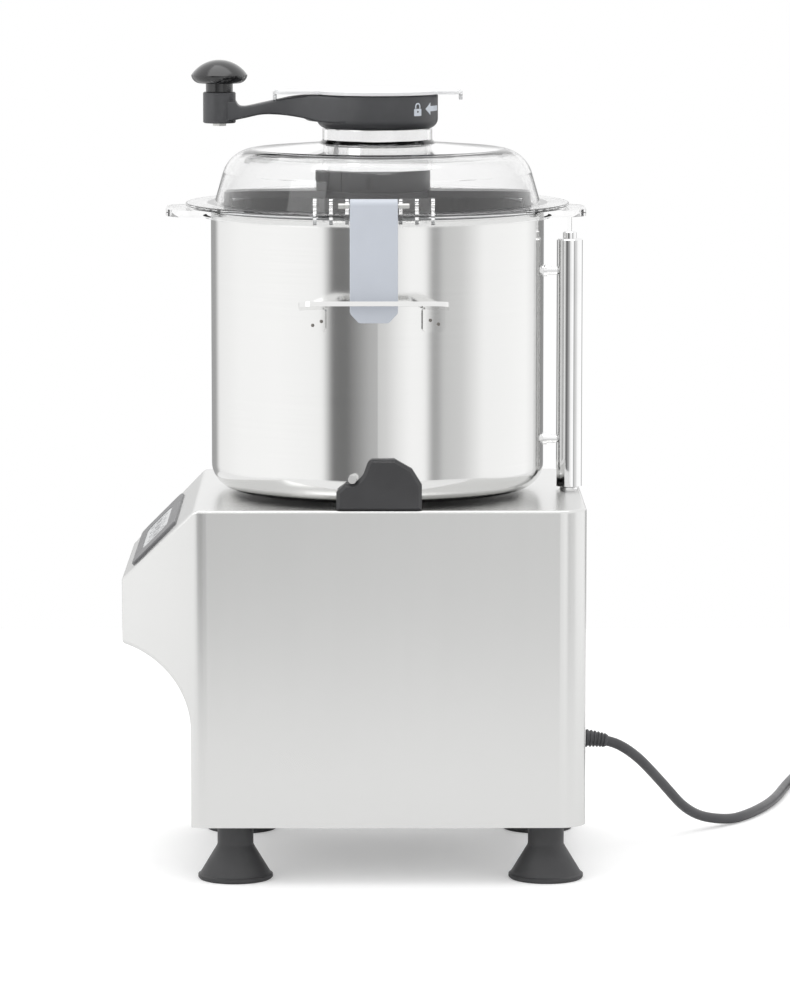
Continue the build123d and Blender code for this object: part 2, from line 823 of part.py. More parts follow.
with BuildPart() as lid_shell:
    side_top = lid_top + dome_side_h
    shoulder_r = dome_r - dome_shoulder_in
    inner_neck = neck_r - lid_wall
    with BuildSketch(turn_plane):
        with BuildLine() as dome_line:
            Polyline((lid_r, lid_top), (dome_r, lid_top), (dome_r - dome_side_in, side_top))
            TangentArc(
                (dome_r - dome_side_in, side_top),
                (shoulder_r, shoulder_z),
                tangent=(-dome_side_in, dome_side_h),
            )
            Polyline(
                (shoulder_r, shoulder_z),
                (neck_r + neck_fillet_r, cone_z),
                (neck_r, cone_z + neck_fillet_r),
                (neck_r, neck_top),
                (inner_neck, neck_top),
                (inner_neck, collar_z),
                (neck_r, collar_z),
                (neck_r, cone_z - lid_wall + 0.4),
                (shoulder_r - 1, shoulder_z - lid_wall),
            )
            TangentArc(
                (dome_r - dome_side_in - lid_wall, side_top),
                (shoulder_r - 1, shoulder_z - lid_wall),
                tangent=(-dome_side_in, dome_side_h),
            )
            Polyline(
                (dome_r - dome_side_in - lid_wall, side_top),
                (dome_r - lid_wall, lid_z),
                (lid_skirt_r - lid_skirt_wall, lid_z),
                (lid_skirt_r - lid_skirt_wall, lid_z - lid_skirt_h),
                (lid_skirt_r, lid_z - lid_skirt_h),
                (lid_skirt_r, lid_z),
                (lid_r, lid_z),
                (lid_r, lid_top),
            )
        make_face()
    revolve(axis=bowl_axis)
    fillet(
        lid_shell.edges().filter_by(GeomType.CIRCLE).filter_by(
            lambda e: abs(e.radius - lid_r) < fit and e.center().Z > lid_z + 1
        ),
        radius=1,
    )
    with BuildSketch(level(lid_z - tab_drop - tab_t + 2.8)):
        with Locations((0, (tab_rear - tab_front) / 2)):
            RectangleRounded(tab_w, 2 * lid_r + tab_front + tab_rear, tab_corner_r)
        Circle(lid_skirt_r - 1, mode=Mode.SUBTRACT)
    extrude(amount=tab_t)
    with BuildSketch(level(lid_z - tab_drop + 1)):
        Rectangle(tab_w - 2, 2 * lid_r)
        Circle(lid_r - 2, mode=Mode.INTERSECT)
        Circle(lid_skirt_r - 1, mode=Mode.SUBTRACT)
    extrude(amount=tab_drop)
    pin_low = rod_top + push_rod_top + gap
    with BuildSketch(Plane(origin=(0, axis_y + rod_reach, pin_low))):
        Circle(lid_pin_r)
    extrude(amount=lid_z - tab_drop - pin_low)
    for side in (1, -1):
        half_gap = latch_w / 2 + 2 * gap
        fin_step = (ear_w / 2 - half_gap - ear_fin_t) / (ear_fins - 1)
        for flank_sign in (1, -1):
            for index in range(ear_fins):
                fin_y = axis_y + handle_side_shift + flank_sign * (half_gap + index * fin_step)
                with BuildSketch(Plane(origin=(0, fin_y, 0), x_dir=(1, 0, 0), z_dir=(0, -1, 0))):
                    with BuildLine():
                        Polyline(
                            (side * (pin_x - ear_back), ear_low),
                            (side * (pin_x - ear_back), lid_top + 1.5),
                            (side * (pin_x - barrel_r), pin_z + 2),
                            (side * (pin_x - 2), pin_z + barrel_r),
                            (side * (pin_x + 2), pin_z + barrel_r),
                            (side * (pin_x + barrel_r), pin_z + 2),
                            (side * (pin_x + barrel_r), pin_z - 2),
                            (side * (pin_x + 1), ear_low),
                            close=True,
                        )
                    make_face()
                    with Locations((side * pin_x, pin_z)):
                        Circle(hinge_pin_r + fit, mode=Mode.SUBTRACT)
                extrude(amount=-flank_sign * ear_fin_t)
            rib_len = ear_w / 2 - half_gap
            rib_y = handle_side_shift + flank_sign * (half_gap + rib_len / 2)
            with BuildSketch(level(lid_top - 1)):
                with Locations((side * (pin_x - ear_rib_back), rib_y)):
                    Rectangle(ear_fin_t, rib_len)
            extrude(amount=pin_z + barrel_r - lid_top + 1)
        with BuildSketch(level(lid_z - 1)):
            with Locations((side * (pin_x + lid_r / 2 - barrel_r - 1), handle_side_shift)):
                Rectangle(lid_r, latch_w + 4 * gap)
        extrude(amount=lid_wall + 2, mode=Mode.SUBTRACT)

with BuildPart() as lid_gasket:
    add(ring(lid_skirt_r - lid_skirt_wall - fit, bowl_r - 4, bowl_top + gap, lid_z))

with BuildPart() as lid_hinge_pins:
    for side in (1, -1):
        pin_end = Plane(
            origin=(side * pin_x, axis_y + handle_side_shift - latch_w / 2 - hinge_pin_out, pin_z),
            z_dir=(0, 1, 0),
        )
        with BuildSketch(pin_end):
            Circle(hinge_pin_r)
        extrude(amount=latch_w + 2 * hinge_pin_out)


def make_latch(side):
    """A flat tongue hung from a barrel on its hinge pin, with chamfered lower corners."""
    hinge_plane = Plane(origin=(side * pin_x, axis_y + handle_side_shift, pin_z), z_dir=(0, 1, 0))
    with BuildPart() as latch:
        with BuildSketch(hinge_plane):
            Circle(barrel_r)
        extrude(amount=latch_w / 2, both=True)
        face_plane = Plane(
            origin=(side * latch_x, axis_y + handle_side_shift, pin_z),
            x_dir=(0, side, 0),
            z_dir=(side, 0, 0),
        )
        with BuildSketch(face_plane) as tongue:
            drop = latch_h - barrel_r
            with Locations((0, -drop / 2)):
                Rectangle(latch_w, drop)
            chamfer(tongue.vertices().group_by(Axis.Y)[0], length=latch_chamfer)
        extrude(amount=latch_t)
        with BuildSketch(hinge_plane):
            Circle(hinge_pin_r + 2 * fit)
        extrude(amount=latch_w, both=True, mode=Mode.SUBTRACT)
    return latch


latch_right = make_latch(1)
latch_left = make_latch(-1)

# Crank on the lid's neck, with the sleeve and scraper below it

sleeve_r = inner_neck - 2 * gap
with BuildPart() as crank_head:
    with BuildSketch(turn_plane):
        with BuildLine():
            Polyline((sleeve_r + fit, hub_z), (hub_r - hub_edge_r, hub_z))
            RadiusArc((hub_r - hub_edge_r, hub_z), (hub_r, hub_z + hub_edge_r), -hub_edge_r)
            Polyline(
                (hub_r, hub_z + hub_edge_r),
                (hub_r, hub_top - 1.5),
                (hub_r - 1.5, hub_top),
                (hub_bore_r, hub_top),
                (hub_bore_r, hub_z + 12),
                (sleeve_r + fit, hub_z + 12),
                (sleeve_r + fit, hub_z),
            )
        make_face()
    revolve(axis=bowl_axis)

with BuildPart() as crank_bar:
    boss_top = hub_top + boss_rise
    arm_root = -hub_bore_r - 4
    with BuildSketch(side_plane):
        with BuildLine():
            top_edge = Spline(
                (arm_root, hub_top - 1.1),
                (-hub_r - 17, hub_top - 1.8),
                (-hub_r - 41, hub_top - 6.7),
                (-arm_reach, hub_top - 10),
            )
            low_edge = Spline(
                (-arm_reach, boss_top - boss_h),
                (-arm_reach + 19, hub_top - 17),
                (-hub_r - 40, hub_top - 14.8),
                (-hub_r - 17, hub_top - 15.9),
                (arm_root, hub_top - 19.5),
            )
            Line(top_edge @ 1, low_edge @ 0)
            Line(low_edge @ 1, top_edge @ 0)
        make_face()
    extrude(amount=hub_r, both=True)
    with BuildSketch(level(hub_z)):
        with BuildLine():
            flank_edge = Spline(
                (10, -arm_reach),
                (11, -hub_r - 30),
                (17, -hub_r - 8),
                (26, arm_root),
            )
            Line(flank_edge @ 1, (0, arm_root))
            Line((0, -arm_reach), flank_edge @ 0)
            mirror(about=Plane.YZ)
        make_face()
    extrude(amount=2 * hub_h, mode=Mode.INTERSECT)
    boss_axis = Plane(origin=(0, axis_y - arm_reach, boss_top - boss_h))
    with BuildSketch(boss_axis):
        Circle(boss_r)
    extrude(amount=boss_h)
    fillet(crank_bar.edges().group_by(Axis.Z)[-1], radius=1)

with BuildPart() as crank_arm:
    add(crank_head.part)
    add(crank_bar.part)
    with BuildSketch(level(hub_z - 1)):
        Circle(hub_bore_r)
    extrude(amount=hub_h + 2, mode=Mode.SUBTRACT)
    with BuildSketch(level(hub_z - 1)):
        Circle(sleeve_r + fit)
    extrude(amount=13, mode=Mode.SUBTRACT)
    with BuildSketch(boss_axis):
        Circle(knob_screw_r + fit)
    extrude(amount=boss_h, mode=Mode.SUBTRACT)

ring_top = collar_z - gap
with BuildPart() as crank_sleeve:
    add(ring(sleeve_r, sleeve_r - sleeve_wall, ring_top - ring_h, hub_z + 12))

ring_r = sleeve_r + fit + ring_wall
with BuildPart() as scraper_hub:
    with BuildSketch(level(ring_top - ring_h)):
        Circle(ring_r)
        with Locations((0, -ring_r / 2)):
            RectangleRounded(ring_lobe_w, ring_r + 2 * ring_lobe_out, ring_lobe_out)
    extrude(amount=ring_h)
    with BuildSketch(Plane(origin=(0, axis_y, ring_top - ring_h / 2), z_dir=(1, 0, 0))):
        with Locations((-ring_slot_side, 0)):
            SlotOverall(ring_slot_h, ring_slot_w, rotation=90)
    extrude(amount=2 * ring_r, mode=Mode.SUBTRACT)
    with BuildSketch(level(ring_top - ring_h)):
        Circle(sleeve_r + fit)
    extrude(amount=ring_h, mode=Mode.SUBTRACT)
    with BuildSketch(level(ring_top - ring_h)):
        with Locations((ring_r, -ring_groove_side)):
            Rectangle(2 * ring_r, ring_groove_w)
        Circle(ring_r - ring_groove_depth, mode=Mode.SUBTRACT)
    extrude(amount=ring_h, mode=Mode.SUBTRACT)

with BuildPart() as scraper_arms:
    arm_z = ring_top - ring_h
    half_t = scraper_t / 2
    for side in (1, -1):
        with BuildSketch(level(arm_z - scraper_t)):
            with Locations((0, side * (ring_r + scraper_r) / 2)):
                Rectangle(scraper_w, scraper_r - ring_r + 12)
            Circle(scraper_r, mode=Mode.INTERSECT)
        extrude(amount=scraper_t)
        with BuildSketch(level(scraper_low)):
            with Locations((0, side * scraper_r)):
                Rectangle(scraper_w, 2 * scraper_t)
            Circle(scraper_r, mode=Mode.INTERSECT)
        extrude(amount=arm_z - scraper_low)
        with BuildSketch(level(scraper_low)):
            with Locations((side * (scraper_w / 2 - scraper_lip_t), side * scraper_r)):
                Rectangle(scraper_lip_t, 4 * scraper_t)
            Circle(scraper_lip_r, mode=Mode.INTERSECT)
            Circle(scraper_r - 1, mode=Mode.SUBTRACT)
        extrude(amount=lid_z - lid_skirt_h - gap - 4 * gap - scraper_low)
    add(ring(ring_r, sleeve_r + fit, arm_z - scraper_t, arm_z))

with BuildPart() as feed_cover:
    cover_z = hub_top + gap
    with BuildSketch(level(cover_z)):
        Circle(cover_r)
        with Locations((0, (cover_rear - cover_front) / 2)):
            RectangleRounded(cover_tab_w, cover_front + cover_rear, 9)
    extrude(amount=cover_t)
    with BuildSketch(level(cover_z + cover_t)):
        with Locations((0, 2.5 - cover_front), (0, cover_rear - 2.5)):
            Rectangle(cover_tab_w - 18, 2)
    extrude(amount=0.8)
    with BuildSketch(level(cover_z)):
        with Locations((0, 1.2 - cover_front), (0, cover_rear - 1.2)):
            Rectangle(cover_tab_w - 18, 2.4)
    extrude(amount=-cover_lip_h)
    with BuildSketch(level(cover_z)):
        Circle(hub_bore_r - gap)
        Circle(hub_bore_r - gap - 2, mode=Mode.SUBTRACT)
    extrude(amount=-4)

# Knob on its screw

knob_z = boss_top + gap
knob_top = knob_z + knob_neck_h + knob_h
knob_axis_y = axis_y - arm_reach
knob_plane = Plane(origin=(0, knob_axis_y, 0), x_dir=(1, 0, 0), z_dir=(0, -1, 0))
with BuildPart() as crank_knob:
    cap_z = knob_z + knob_neck_h
    with BuildSketch(knob_plane):
        with BuildLine():
            Polyline(
                (knob_screw_r + 2 * fit, knob_z),
                (knob_neck_r, knob_z),
                (knob_neck_r, cap_z),
                (knob_neck_r + 3, cap_z),
            )
            ThreePointArc(
                (knob_neck_r + 3, cap_z),
                (knob_r - 2, cap_z + knob_edge_h * 0.3),
                (knob_r, cap_z + knob_edge_h),
            )
            TangentArc((0, cap_z + knob_h), (knob_r, cap_z + knob_edge_h), tangent=(1, 0))
            Polyline(
                (0, cap_z + knob_h),
                (0, cap_z + 6),
                (knob_screw_r + 2 * fit, cap_z + 6),
                (knob_screw_r + 2 * fit, knob_z),
            )
        make_face()
    revolve(axis=Axis((0, knob_axis_y, 0), (0, 0, 1)))

with BuildPart() as knob_screw:
    screw_low = boss_top - boss_h - 2
    with BuildSketch(Plane(origin=(0, knob_axis_y, screw_low))):
        Circle(knob_screw_r)
    extrude(amount=cap_z + 6 - gap - screw_low)
    with BuildSketch(Plane(origin=(0, knob_axis_y, screw_low))):
        RegularPolygon(5.5, 6)
    extrude(amount=2)

# Blades on the shaft's flats

blade_low = floor_z + 1.5 + 4 + gap
hub_inner = tube_r + 0.5
with BuildPart() as blade_hub:
    add(ring(blade_hub_r, hub_inner, blade_low, tube_top + 1))
    with BuildSketch(level(tube_top + 1)):
        Circle(blade_hub_r)
        Circle(shaft_r + fit, mode=Mode.SUBTRACT)
    extrude(amount=shaft_top - drive_h - tube_top - 1 + 2)
    with BuildSketch(level(shaft_top - drive_h + 2)):
        Circle(blade_hub_r)
    extrude(amount=drive_h - 2 + 3)
    with BuildSketch(level(shaft_top - drive_h + 2)):
        Circle(shaft_r + fit)
        Rectangle(2 * shaft_flat + 2 * fit, 4 * shaft_r, mode=Mode.INTERSECT)
    extrude(amount=drive_h - 2 + gap, mode=Mode.SUBTRACT)
    add(ring(blade_hub_r + 5, blade_hub_r - 1, blade_low, blade_low + 4))


def blade_point(radius, turn):
    """A point at a radius and a turn about the bowl's axis."""
    return (radius * cos(radians(turn)), radius * sin(radians(turn)))


def make_blade_pair(low, turn):
    """Two curved sickle blades joined by a ring that fits over the blade hub."""
    with BuildPart() as blades:
        with BuildSketch(level(low)) as outline:
            Circle(blade_root)
            for aim in (turn, turn + half_turn):
                with BuildLine():
                    back = ThreePointArc(
                        blade_point(blade_root - 3, aim + 52),
                        blade_point(blade_r * 0.62, aim + 36),
                        blade_point(blade_r, aim - 8),
                    )
                    tip = Line(back @ 1, blade_point(blade_r * 0.93, aim - 15))
                    edge = ThreePointArc(
                        tip @ 1,
                        blade_point(blade_edge_r, aim + blade_edge_lead),
                        blade_point(blade_root - 3, aim - 35),
                    )
                    Line(edge @ 1, back @ 0)
                make_face()
            Circle(blade_hub_r + fit, mode=Mode.SUBTRACT)
        extrude(amount=blade_t)
        top_face = blades.faces().sort_by(Axis.Z)[-1]
        for aim in (turn, turn + half_turn):
            edge_place = Vector(*blade_point(blade_edge_r, aim + blade_edge_lead), low + blade_t)
            edge_place += Vector(0, axis_y, 0)
            cutting = blades.edges().filter_by(lambda e: (e @ 0.5 - edge_place).length < blade_root / 2)
            cutting = cutting.group_by(Axis.Z)[-1]
            chamfer(cutting, length=blade_edge_w, length2=blade_edge_t, reference=top_face)
            top_face = blades.faces().filter_by(Axis.Z).sort_by(Axis.Z)[-1]
    return blades


lower_blade_z = blade_low + 4
upper_blade_z = lower_blade_z + blade_spacing
lower_blades = make_blade_pair(lower_blade_z, lower_blade_turn)
upper_blades = make_blade_pair(upper_blade_z, lower_blade_turn + half_turn / 2)

with BuildPart() as blade_spacer:
    add(ring(blade_root, blade_hub_r + fit, lower_blade_z + blade_t, upper_blade_z))

with BuildPart() as blade_cap:
    cap_z0 = shaft_top + 3
    add(ring(blade_root, blade_hub_r + fit, upper_blade_z + blade_t, cap_z0))
    with BuildSketch(level(cap_z0)):
        Circle(blade_root)
    extrude(amount=blade_cap_h - 8)
    fillet(blade_cap.edges().group_by(Axis.Z)[-1], radius=7)

# Mains cord: gland, tube to the view's edge, coil and plug

exit_z = foot_h + cord_exit_up
exit_y = axis_y + rear_reach
cord_r = cord_d / 2
with BuildPart() as cable_gland:
    gland_plane = Plane(origin=(0, exit_y, exit_z), z_dir=(0, 1, 0))
    with BuildSketch(gland_plane.offset(-sheet)):
        Circle(gland_r - 2 - fit)
    extrude(amount=sheet)
    with BuildSketch(gland_plane):
        Circle(gland_r - 1)
    extrude(amount=gland_t)
    with BuildSketch(gland_plane.offset(gland_t)):
        Circle(cord_r + 1.6)
    with BuildSketch(gland_plane.offset(strain_relief_h)):
        Circle(cord_r + 0.6)
    loft()
    with BuildSketch(gland_plane.offset(-sheet - 6)):
        RegularPolygon(gland_r, 6)
    extrude(amount=6)
    with BuildSketch(gland_plane.offset(-sheet - 6)):
        Circle(cord_r + fit)
    extrude(amount=6 + sheet + strain_relief_h, mode=Mode.SUBTRACT)

cord_points = [
    (0, 157.4, 85.8),
    (0, 184, 85.6),
    (-10, 206, 73),
    (-40, 228, 46),
    (-74, 252, 14),
    (-102, 282, 3.8),
    (-128, 302, 3.8),
    (-184, 325, 3.8),
    (-262, 342, 3.8),
    (-318, 358, 3.8),
    (-345, 361.5, 3.8),
]


def corner_radii(points):
    """For each inner point, the radius that uses 0.45 of its shorter run."""
    radii = []
    for before, here, after in zip(points, points[1:], points[2:]):
        run_in = Vector(*here) - Vector(*before)
        run_out = Vector(*after) - Vector(*here)
        half_turn = radians(run_in.get_angle(run_out)) / 2
        radii.append(0.45 * min(run_in.length, run_out.length) / tan(half_turn))
    return radii


cord_radii = corner_radii(cord_points)
with BuildPart() as power_cord:
    with BuildLine() as cord_line:
        FilletPolyline(*cord_points, radius=cord_radii)
    with BuildSketch(Plane(origin=cord_line.line @ 0, z_dir=cord_line.line % 0)):
        Circle(cord_r)
    sweep(path=cord_line.line)

coil_half_w = coil_turns_wide * cord_r
coil_axis = Axis((coil_x, axis_y + coil_reach, 0), (0, 0, 1))
with BuildPart() as cord_coil:
    with BuildSketch(Plane(origin=(coil_x, axis_y + coil_reach, 0), x_dir=(1, 0, 0), z_dir=(0, -1, 0))):
        with Locations((coil_r, coil_turns_high * cord_r)):
            RectangleRounded(2 * coil_half_w, 2 * coil_turns_high * cord_r, cord_r)
    revolve(axis=coil_axis)

plug_axis_y = axis_y + coil_reach + coil_r + cord_d
with BuildPart() as power_plug:
    coil_edge = sqrt((coil_r + coil_half_w) ** 2 - (coil_r + cord_d) ** 2)
    plug_start = coil_x + coil_edge + gap
    plug_body = plug_start + 18
    plug_plane = Plane(origin=(plug_start, plug_axis_y, plug_r), x_dir=(0, 1, 0), z_dir=(1, 0, 0))
    with BuildSketch(plug_plane):
        Circle(cord_r + 0.6)
    with BuildSketch(plug_plane.offset(18)):
        Circle(cord_r + 2.2)
    loft()
    with BuildSketch(plug_plane.offset(18)):
        Circle(plug_rear_r)
    with BuildSketch(plug_plane.offset(18 + plug_h - 12)):
        Circle(plug_r - 2)
    loft()
    with BuildSketch(plug_plane.offset(18 + plug_h - 12)):
        Circle(plug_r)
    extrude(amount=12)
    chamfer(power_plug.faces().sort_by(Axis.X)[-1].edges(), length=1)
    with BuildSketch(plug_plane.offset(18 + plug_h)):
        with GridLocations(plug_pin_step, 0, 2, 1):
            Circle(plug_pin_r)
    extrude(amount=plug_pin_h)

pieces = {
    "housing_shell": housing_shell,
    "base_plate": base_plate,
    **feet,
    "foot_bolts": foot_bolts,
    "panel_bezel": panel_bezel,
    "panel_display": panel_display,
    "control_board": control_board,
    "motor_plate": motor_plate,
    "motor_posts": motor_posts,
    "motor_case": motor_case,
    "stator": stator,
    "motor_top_bell": motor_top_bell,
    "motor_bottom_bell": motor_bottom_bell,
    "upper_bearing": upper_bearing,
    "lower_bearing": lower_bearing,
    "shaft_seal": shaft_seal,
    "bowl_seat": bowl_seat,
    "run_capacitor": run_capacitor,
    "bowl_stop_right": bowl_stop_right,
    "bowl_stop_left": bowl_stop_left,
    "microswitch": microswitch,
    "cable_gland": cable_gland,
    "power_cord": power_cord,
    "cord_coil": cord_coil,
    "power_plug": power_plug,
    "rotor": rotor,
    "drive_shaft": drive_shaft,
    "cooling_fan": cooling_fan,
    "bowl_shell": bowl_shell,
    "bowl_tube": bowl_tube,
    "bowl_handle_right": bowl_handle_right,
    "bowl_handle_left": bowl_handle_left,
    "bowl_lugs": bowl_lugs,
    "rod_tube": rod_tube,
    "rod_posts": rod_posts,
    "push_rod": push_rod,
    "return_spring": return_spring,
    "switch_plunger": switch_plunger,
    "blade_hub": blade_hub,
    "lower_blades": lower_blades,
    "blade_spacer": blade_spacer,
    "upper_blades": upper_blades,
    "blade_cap": blade_cap,
    "lid_shell": lid_shell,
    "lid_gasket": lid_gasket,
    "lid_hinge_pins": lid_hinge_pins,
    "latch_right": latch_right,
    "latch_left": latch_left,
    "crank_arm": crank_arm,
    "crank_sleeve": crank_sleeve,
    "scraper_hub": scraper_hub,
    "scraper_arms": scraper_arms,
    "feed_cover": feed_cover,
    "crank_knob": crank_knob,
    "knob_screw": knob_screw,
}

for name, piece in pieces.items():
    piece.part.label = name
    export_step(piece.part, f"parts/{name}.step")
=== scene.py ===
import json
import math
from math import cos, pi, radians, sin, tan

import bmesh
import bpy
from mathutils import Euler, Matrix, Vector


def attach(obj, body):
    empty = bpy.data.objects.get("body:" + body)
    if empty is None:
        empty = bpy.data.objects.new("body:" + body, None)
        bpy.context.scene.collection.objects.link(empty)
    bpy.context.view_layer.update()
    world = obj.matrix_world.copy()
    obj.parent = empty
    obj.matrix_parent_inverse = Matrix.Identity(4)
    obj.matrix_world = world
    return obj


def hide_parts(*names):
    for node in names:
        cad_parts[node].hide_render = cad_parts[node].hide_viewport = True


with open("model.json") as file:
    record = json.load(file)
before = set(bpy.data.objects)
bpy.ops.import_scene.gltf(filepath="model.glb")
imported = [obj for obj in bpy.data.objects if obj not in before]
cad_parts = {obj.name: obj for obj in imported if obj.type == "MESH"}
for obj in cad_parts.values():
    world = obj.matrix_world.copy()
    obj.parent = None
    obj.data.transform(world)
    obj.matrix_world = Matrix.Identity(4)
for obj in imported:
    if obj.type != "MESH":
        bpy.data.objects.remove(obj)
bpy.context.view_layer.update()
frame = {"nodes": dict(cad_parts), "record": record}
scene = bpy.context.scene

# Sizes below are in millimetres, as in the CAD model, and MM turns them into metres.
MM = 0.001
AXIS_Y = 16.0
SEGMENTS = 192

# Camera

CAMERA_TILT_DEG = 7.153
CAMERA_PAN_DEG = 0.284

camera_data = bpy.data.cameras.new("camera")
camera_data.lens = 182.5
camera_data.sensor_width = 36
camera_data.clip_end = 50
camera = bpy.data.objects.new("camera", camera_data)
camera.location = (3.7046, 0.0105, 0.728)
camera.rotation_euler = Euler((radians(90 - CAMERA_TILT_DEG), 0, radians(90 - CAMERA_PAN_DEG)))
scene.collection.objects.link(camera)
scene.camera = camera

# Places shared with the CAD model

CORD_R = 3.8
COIL_CENTRE = (-340.0, 407.6)
COIL_R = 38.5
COIL_TURNS = 5.5
PLUG_START = -320.6
PLUG_Z = 17.0
ROUTE = [
    (0, 157.4, 85.8),
    (0, 184, 85.6),
    (-10, 206, 73),
    (-40, 228, 46),
    (-74, 252, 14),
    (-102, 282, 3.8),
    (-128, 302, 3.8),
    (-184, 325, 3.8),
    (-262, 342, 3.8),
    (-318, 358, 3.8),
]
HUB_R = 44.2
HUB_Z = 536.7
HUB_TOP = 561.7
ARM_REACH = 115.2
KNOB_Y = AXIS_Y - ARM_REACH


# Node materials

def soft_step(low, high, value):
    """0 below low, 1 above high, and a smooth rise between."""
    share = min(1.0, max(0.0, (value - low) / (high - low)))
    return share * share * (3 - 2 * share)


class Surface:
    """A material under construction: a principled shader and the nodes that feed it."""

    def __init__(self, name, **sockets):
        self.material = bpy.data.materials.new(name)
        self.material.use_nodes = True
        self.tree = self.material.node_tree
        self.shader = self.tree.nodes["Principled BSDF"]
        for socket, value in sockets.items():
            self.shader.inputs[socket.replace("_", " ")].default_value = value
        self.place = self.node("ShaderNodeTexCoord").outputs["Object"]

    def node(self, kind, inputs=None, **settings):
        made = self.tree.nodes.new(kind)
        for key, value in settings.items():
            setattr(made, key, value)
        for key, value in (inputs or {}).items():
            if isinstance(value, bpy.types.NodeSocket):
                self.tree.links.new(value, made.inputs[key])
            else:
                made.inputs[key].default_value = value
        return made

    def link(self, output, socket):
        self.tree.links.new(output, self.shader.inputs[socket])

    def scaled(self, scale, source=None):
        """The object's own coordinates, stretched by a scale along each axis."""
        return self.node(
            "ShaderNodeMapping", {"Vector": source or self.place, "Scale": scale}
        ).outputs["Vector"]

    def noise(self, scale, detail=3.0, rough=0.55, vector=None):
        """Fractal noise from 0 to 1; a three-part scale gives streaks."""
        if isinstance(scale, tuple):
            vector = self.scaled(scale, vector)
            scale = 1.0
        return self.node(
            "ShaderNodeTexNoise",
            {"Vector": vector or self.place, "Scale": scale, "Detail": detail, "Roughness": rough},
        ).outputs["Fac"]

    def ramp(self, value, low, high, out_low, out_high):
        """A value mapped from one range to another, held at the ends."""
        return self.node(
            "ShaderNodeMapRange",
            {
                "Value": value,
                "From Min": low,
                "From Max": high,
                "To Min": out_low,
                "To Max": out_high,
            },
        ).outputs["Result"]

    def mixed(self, factor, first, second):
        """Two colours mixed by a value."""
        mix = self.node("ShaderNodeMix", data_type="RGBA")
        self.tree.links.new(factor, mix.inputs["Factor"])
        for socket, colour in (("A", first), ("B", second)):
            spot = [i for i in mix.inputs if i.name == socket and i.type == "RGBA"][0]
            if isinstance(colour, bpy.types.NodeSocket):
                self.tree.links.new(colour, spot)
            else:
                spot.default_value = colour
        return [o for o in mix.outputs if o.type == "RGBA"][0]

    def math(self, operation, first, second=0.5):
        made = self.node("ShaderNodeMath", operation=operation)
        for index, value in enumerate((first, second)):
            if isinstance(value, bpy.types.NodeSocket):
                self.tree.links.new(value, made.inputs[index])
            else:
                made.inputs[index].default_value = value
        return made.outputs[0]

    def bump(self, height, strength, distance):
        """Fine relief, with its height in metres."""
        bump = self.node(
            "ShaderNodeBump", {"Height": height, "Strength": strength, "Distance": distance}
        )
        self.link(bump.outputs["Normal"], "Normal")


def grey(value, tint=(1.0, 1.0, 1.0)):
    """A colour from one linear grey level and a tint."""
    return (value * tint[0], value * tint[1], value * tint[2], 1.0)


def brushed(name, base, rough, streaks, fine=1.0, contrast=0.07, on_top=None, tint=(1, 1, 0.99)):
    """Metal with fine straight streaks: the scale is small along the brushing.

    The scale in on_top is used on the faces that look up or down.
    """
    made = Surface(name, Metallic=1.0)
    lines = made.noise(streaks, detail=4, rough=0.7)
    if on_top:
        facing = made.node("ShaderNodeSeparateXYZ", {
            "Vector": made.node("ShaderNodeNewGeometry").outputs["Normal"],
        }).outputs["Z"]
        share = made.ramp(made.math("ABSOLUTE", facing), 0.5, 0.6, 0, 1)
        side_lines = made.math("MULTIPLY", lines, made.math("SUBTRACT", 1.0, share))
        top_lines = made.math("MULTIPLY", made.noise(on_top, detail=4, rough=0.7), share)
        lines = made.math("ADD", side_lines, top_lines)
    wide = made.noise(tuple(s * 0.12 for s in streaks), detail=2)
    cloud = made.noise(9.0, detail=2)
    dark = grey(base * (1 - contrast), tint)
    tone = made.mixed(made.ramp(lines, 0.3, 0.7, 0, 1), dark, grey(base, tint))
    tone = made.mixed(made.ramp(cloud, 0.35, 0.7, 0, 1), tone, grey(base * 0.98, tint))
    made.link(tone, "Base Color")
    blend = made.math("ADD", made.math("MULTIPLY", lines, 0.6), made.math("MULTIPLY", wide, 0.4))
    smoothest, roughest = rough * (1 - 2 * contrast), rough * (1 + 2 * contrast)
    made.link(made.ramp(blend, 0.3, 0.7, smoothest, roughest), "Roughness")
    made.bump(lines, 0.12 * fine, 0.00004)
    return made.material


def moulded(name, colour, rough, grain=0.00002, scale=2600.0, spread=0.12, coat=0.0, **sockets):
    """Moulded plastic or rubber with a fine grain and slight wear."""
    made = Surface(name, Coat_Weight=coat, Coat_Roughness=0.12, **sockets)
    cloud = made.noise(38.0, detail=3)
    dark = tuple(c * (1 - spread) for c in colour[:3]) + (1.0,)
    light = tuple(min(1.0, c * (1 + spread)) for c in colour[:3]) + (1.0,)
    made.link(made.mixed(made.ramp(cloud, 0.3, 0.7, 0, 1), dark, light), "Base Color")
    wear = made.noise(90.0, detail=4)
    made.link(made.ramp(wear, 0.3, 0.7, rough * 0.9, rough * 1.12), "Roughness")
    made.bump(made.noise(scale, detail=2), 0.35, grain)
    return made.material


def clear(name, colour, rough, ior, haze=0.0, through=1.0):
    """Clear or frosted plastic with faint haze and mould waves."""
    made = Surface(name, Transmission_Weight=through, IOR=ior, Base_Color=colour)
    cloud = made.noise(60.0, detail=4)
    made.link(made.ramp(cloud, 0.35, 0.75, rough, rough + 0.02 + haze), "Roughness")
    made.bump(made.noise(26.0, detail=1), 0.05, 0.0004)
    return made.material


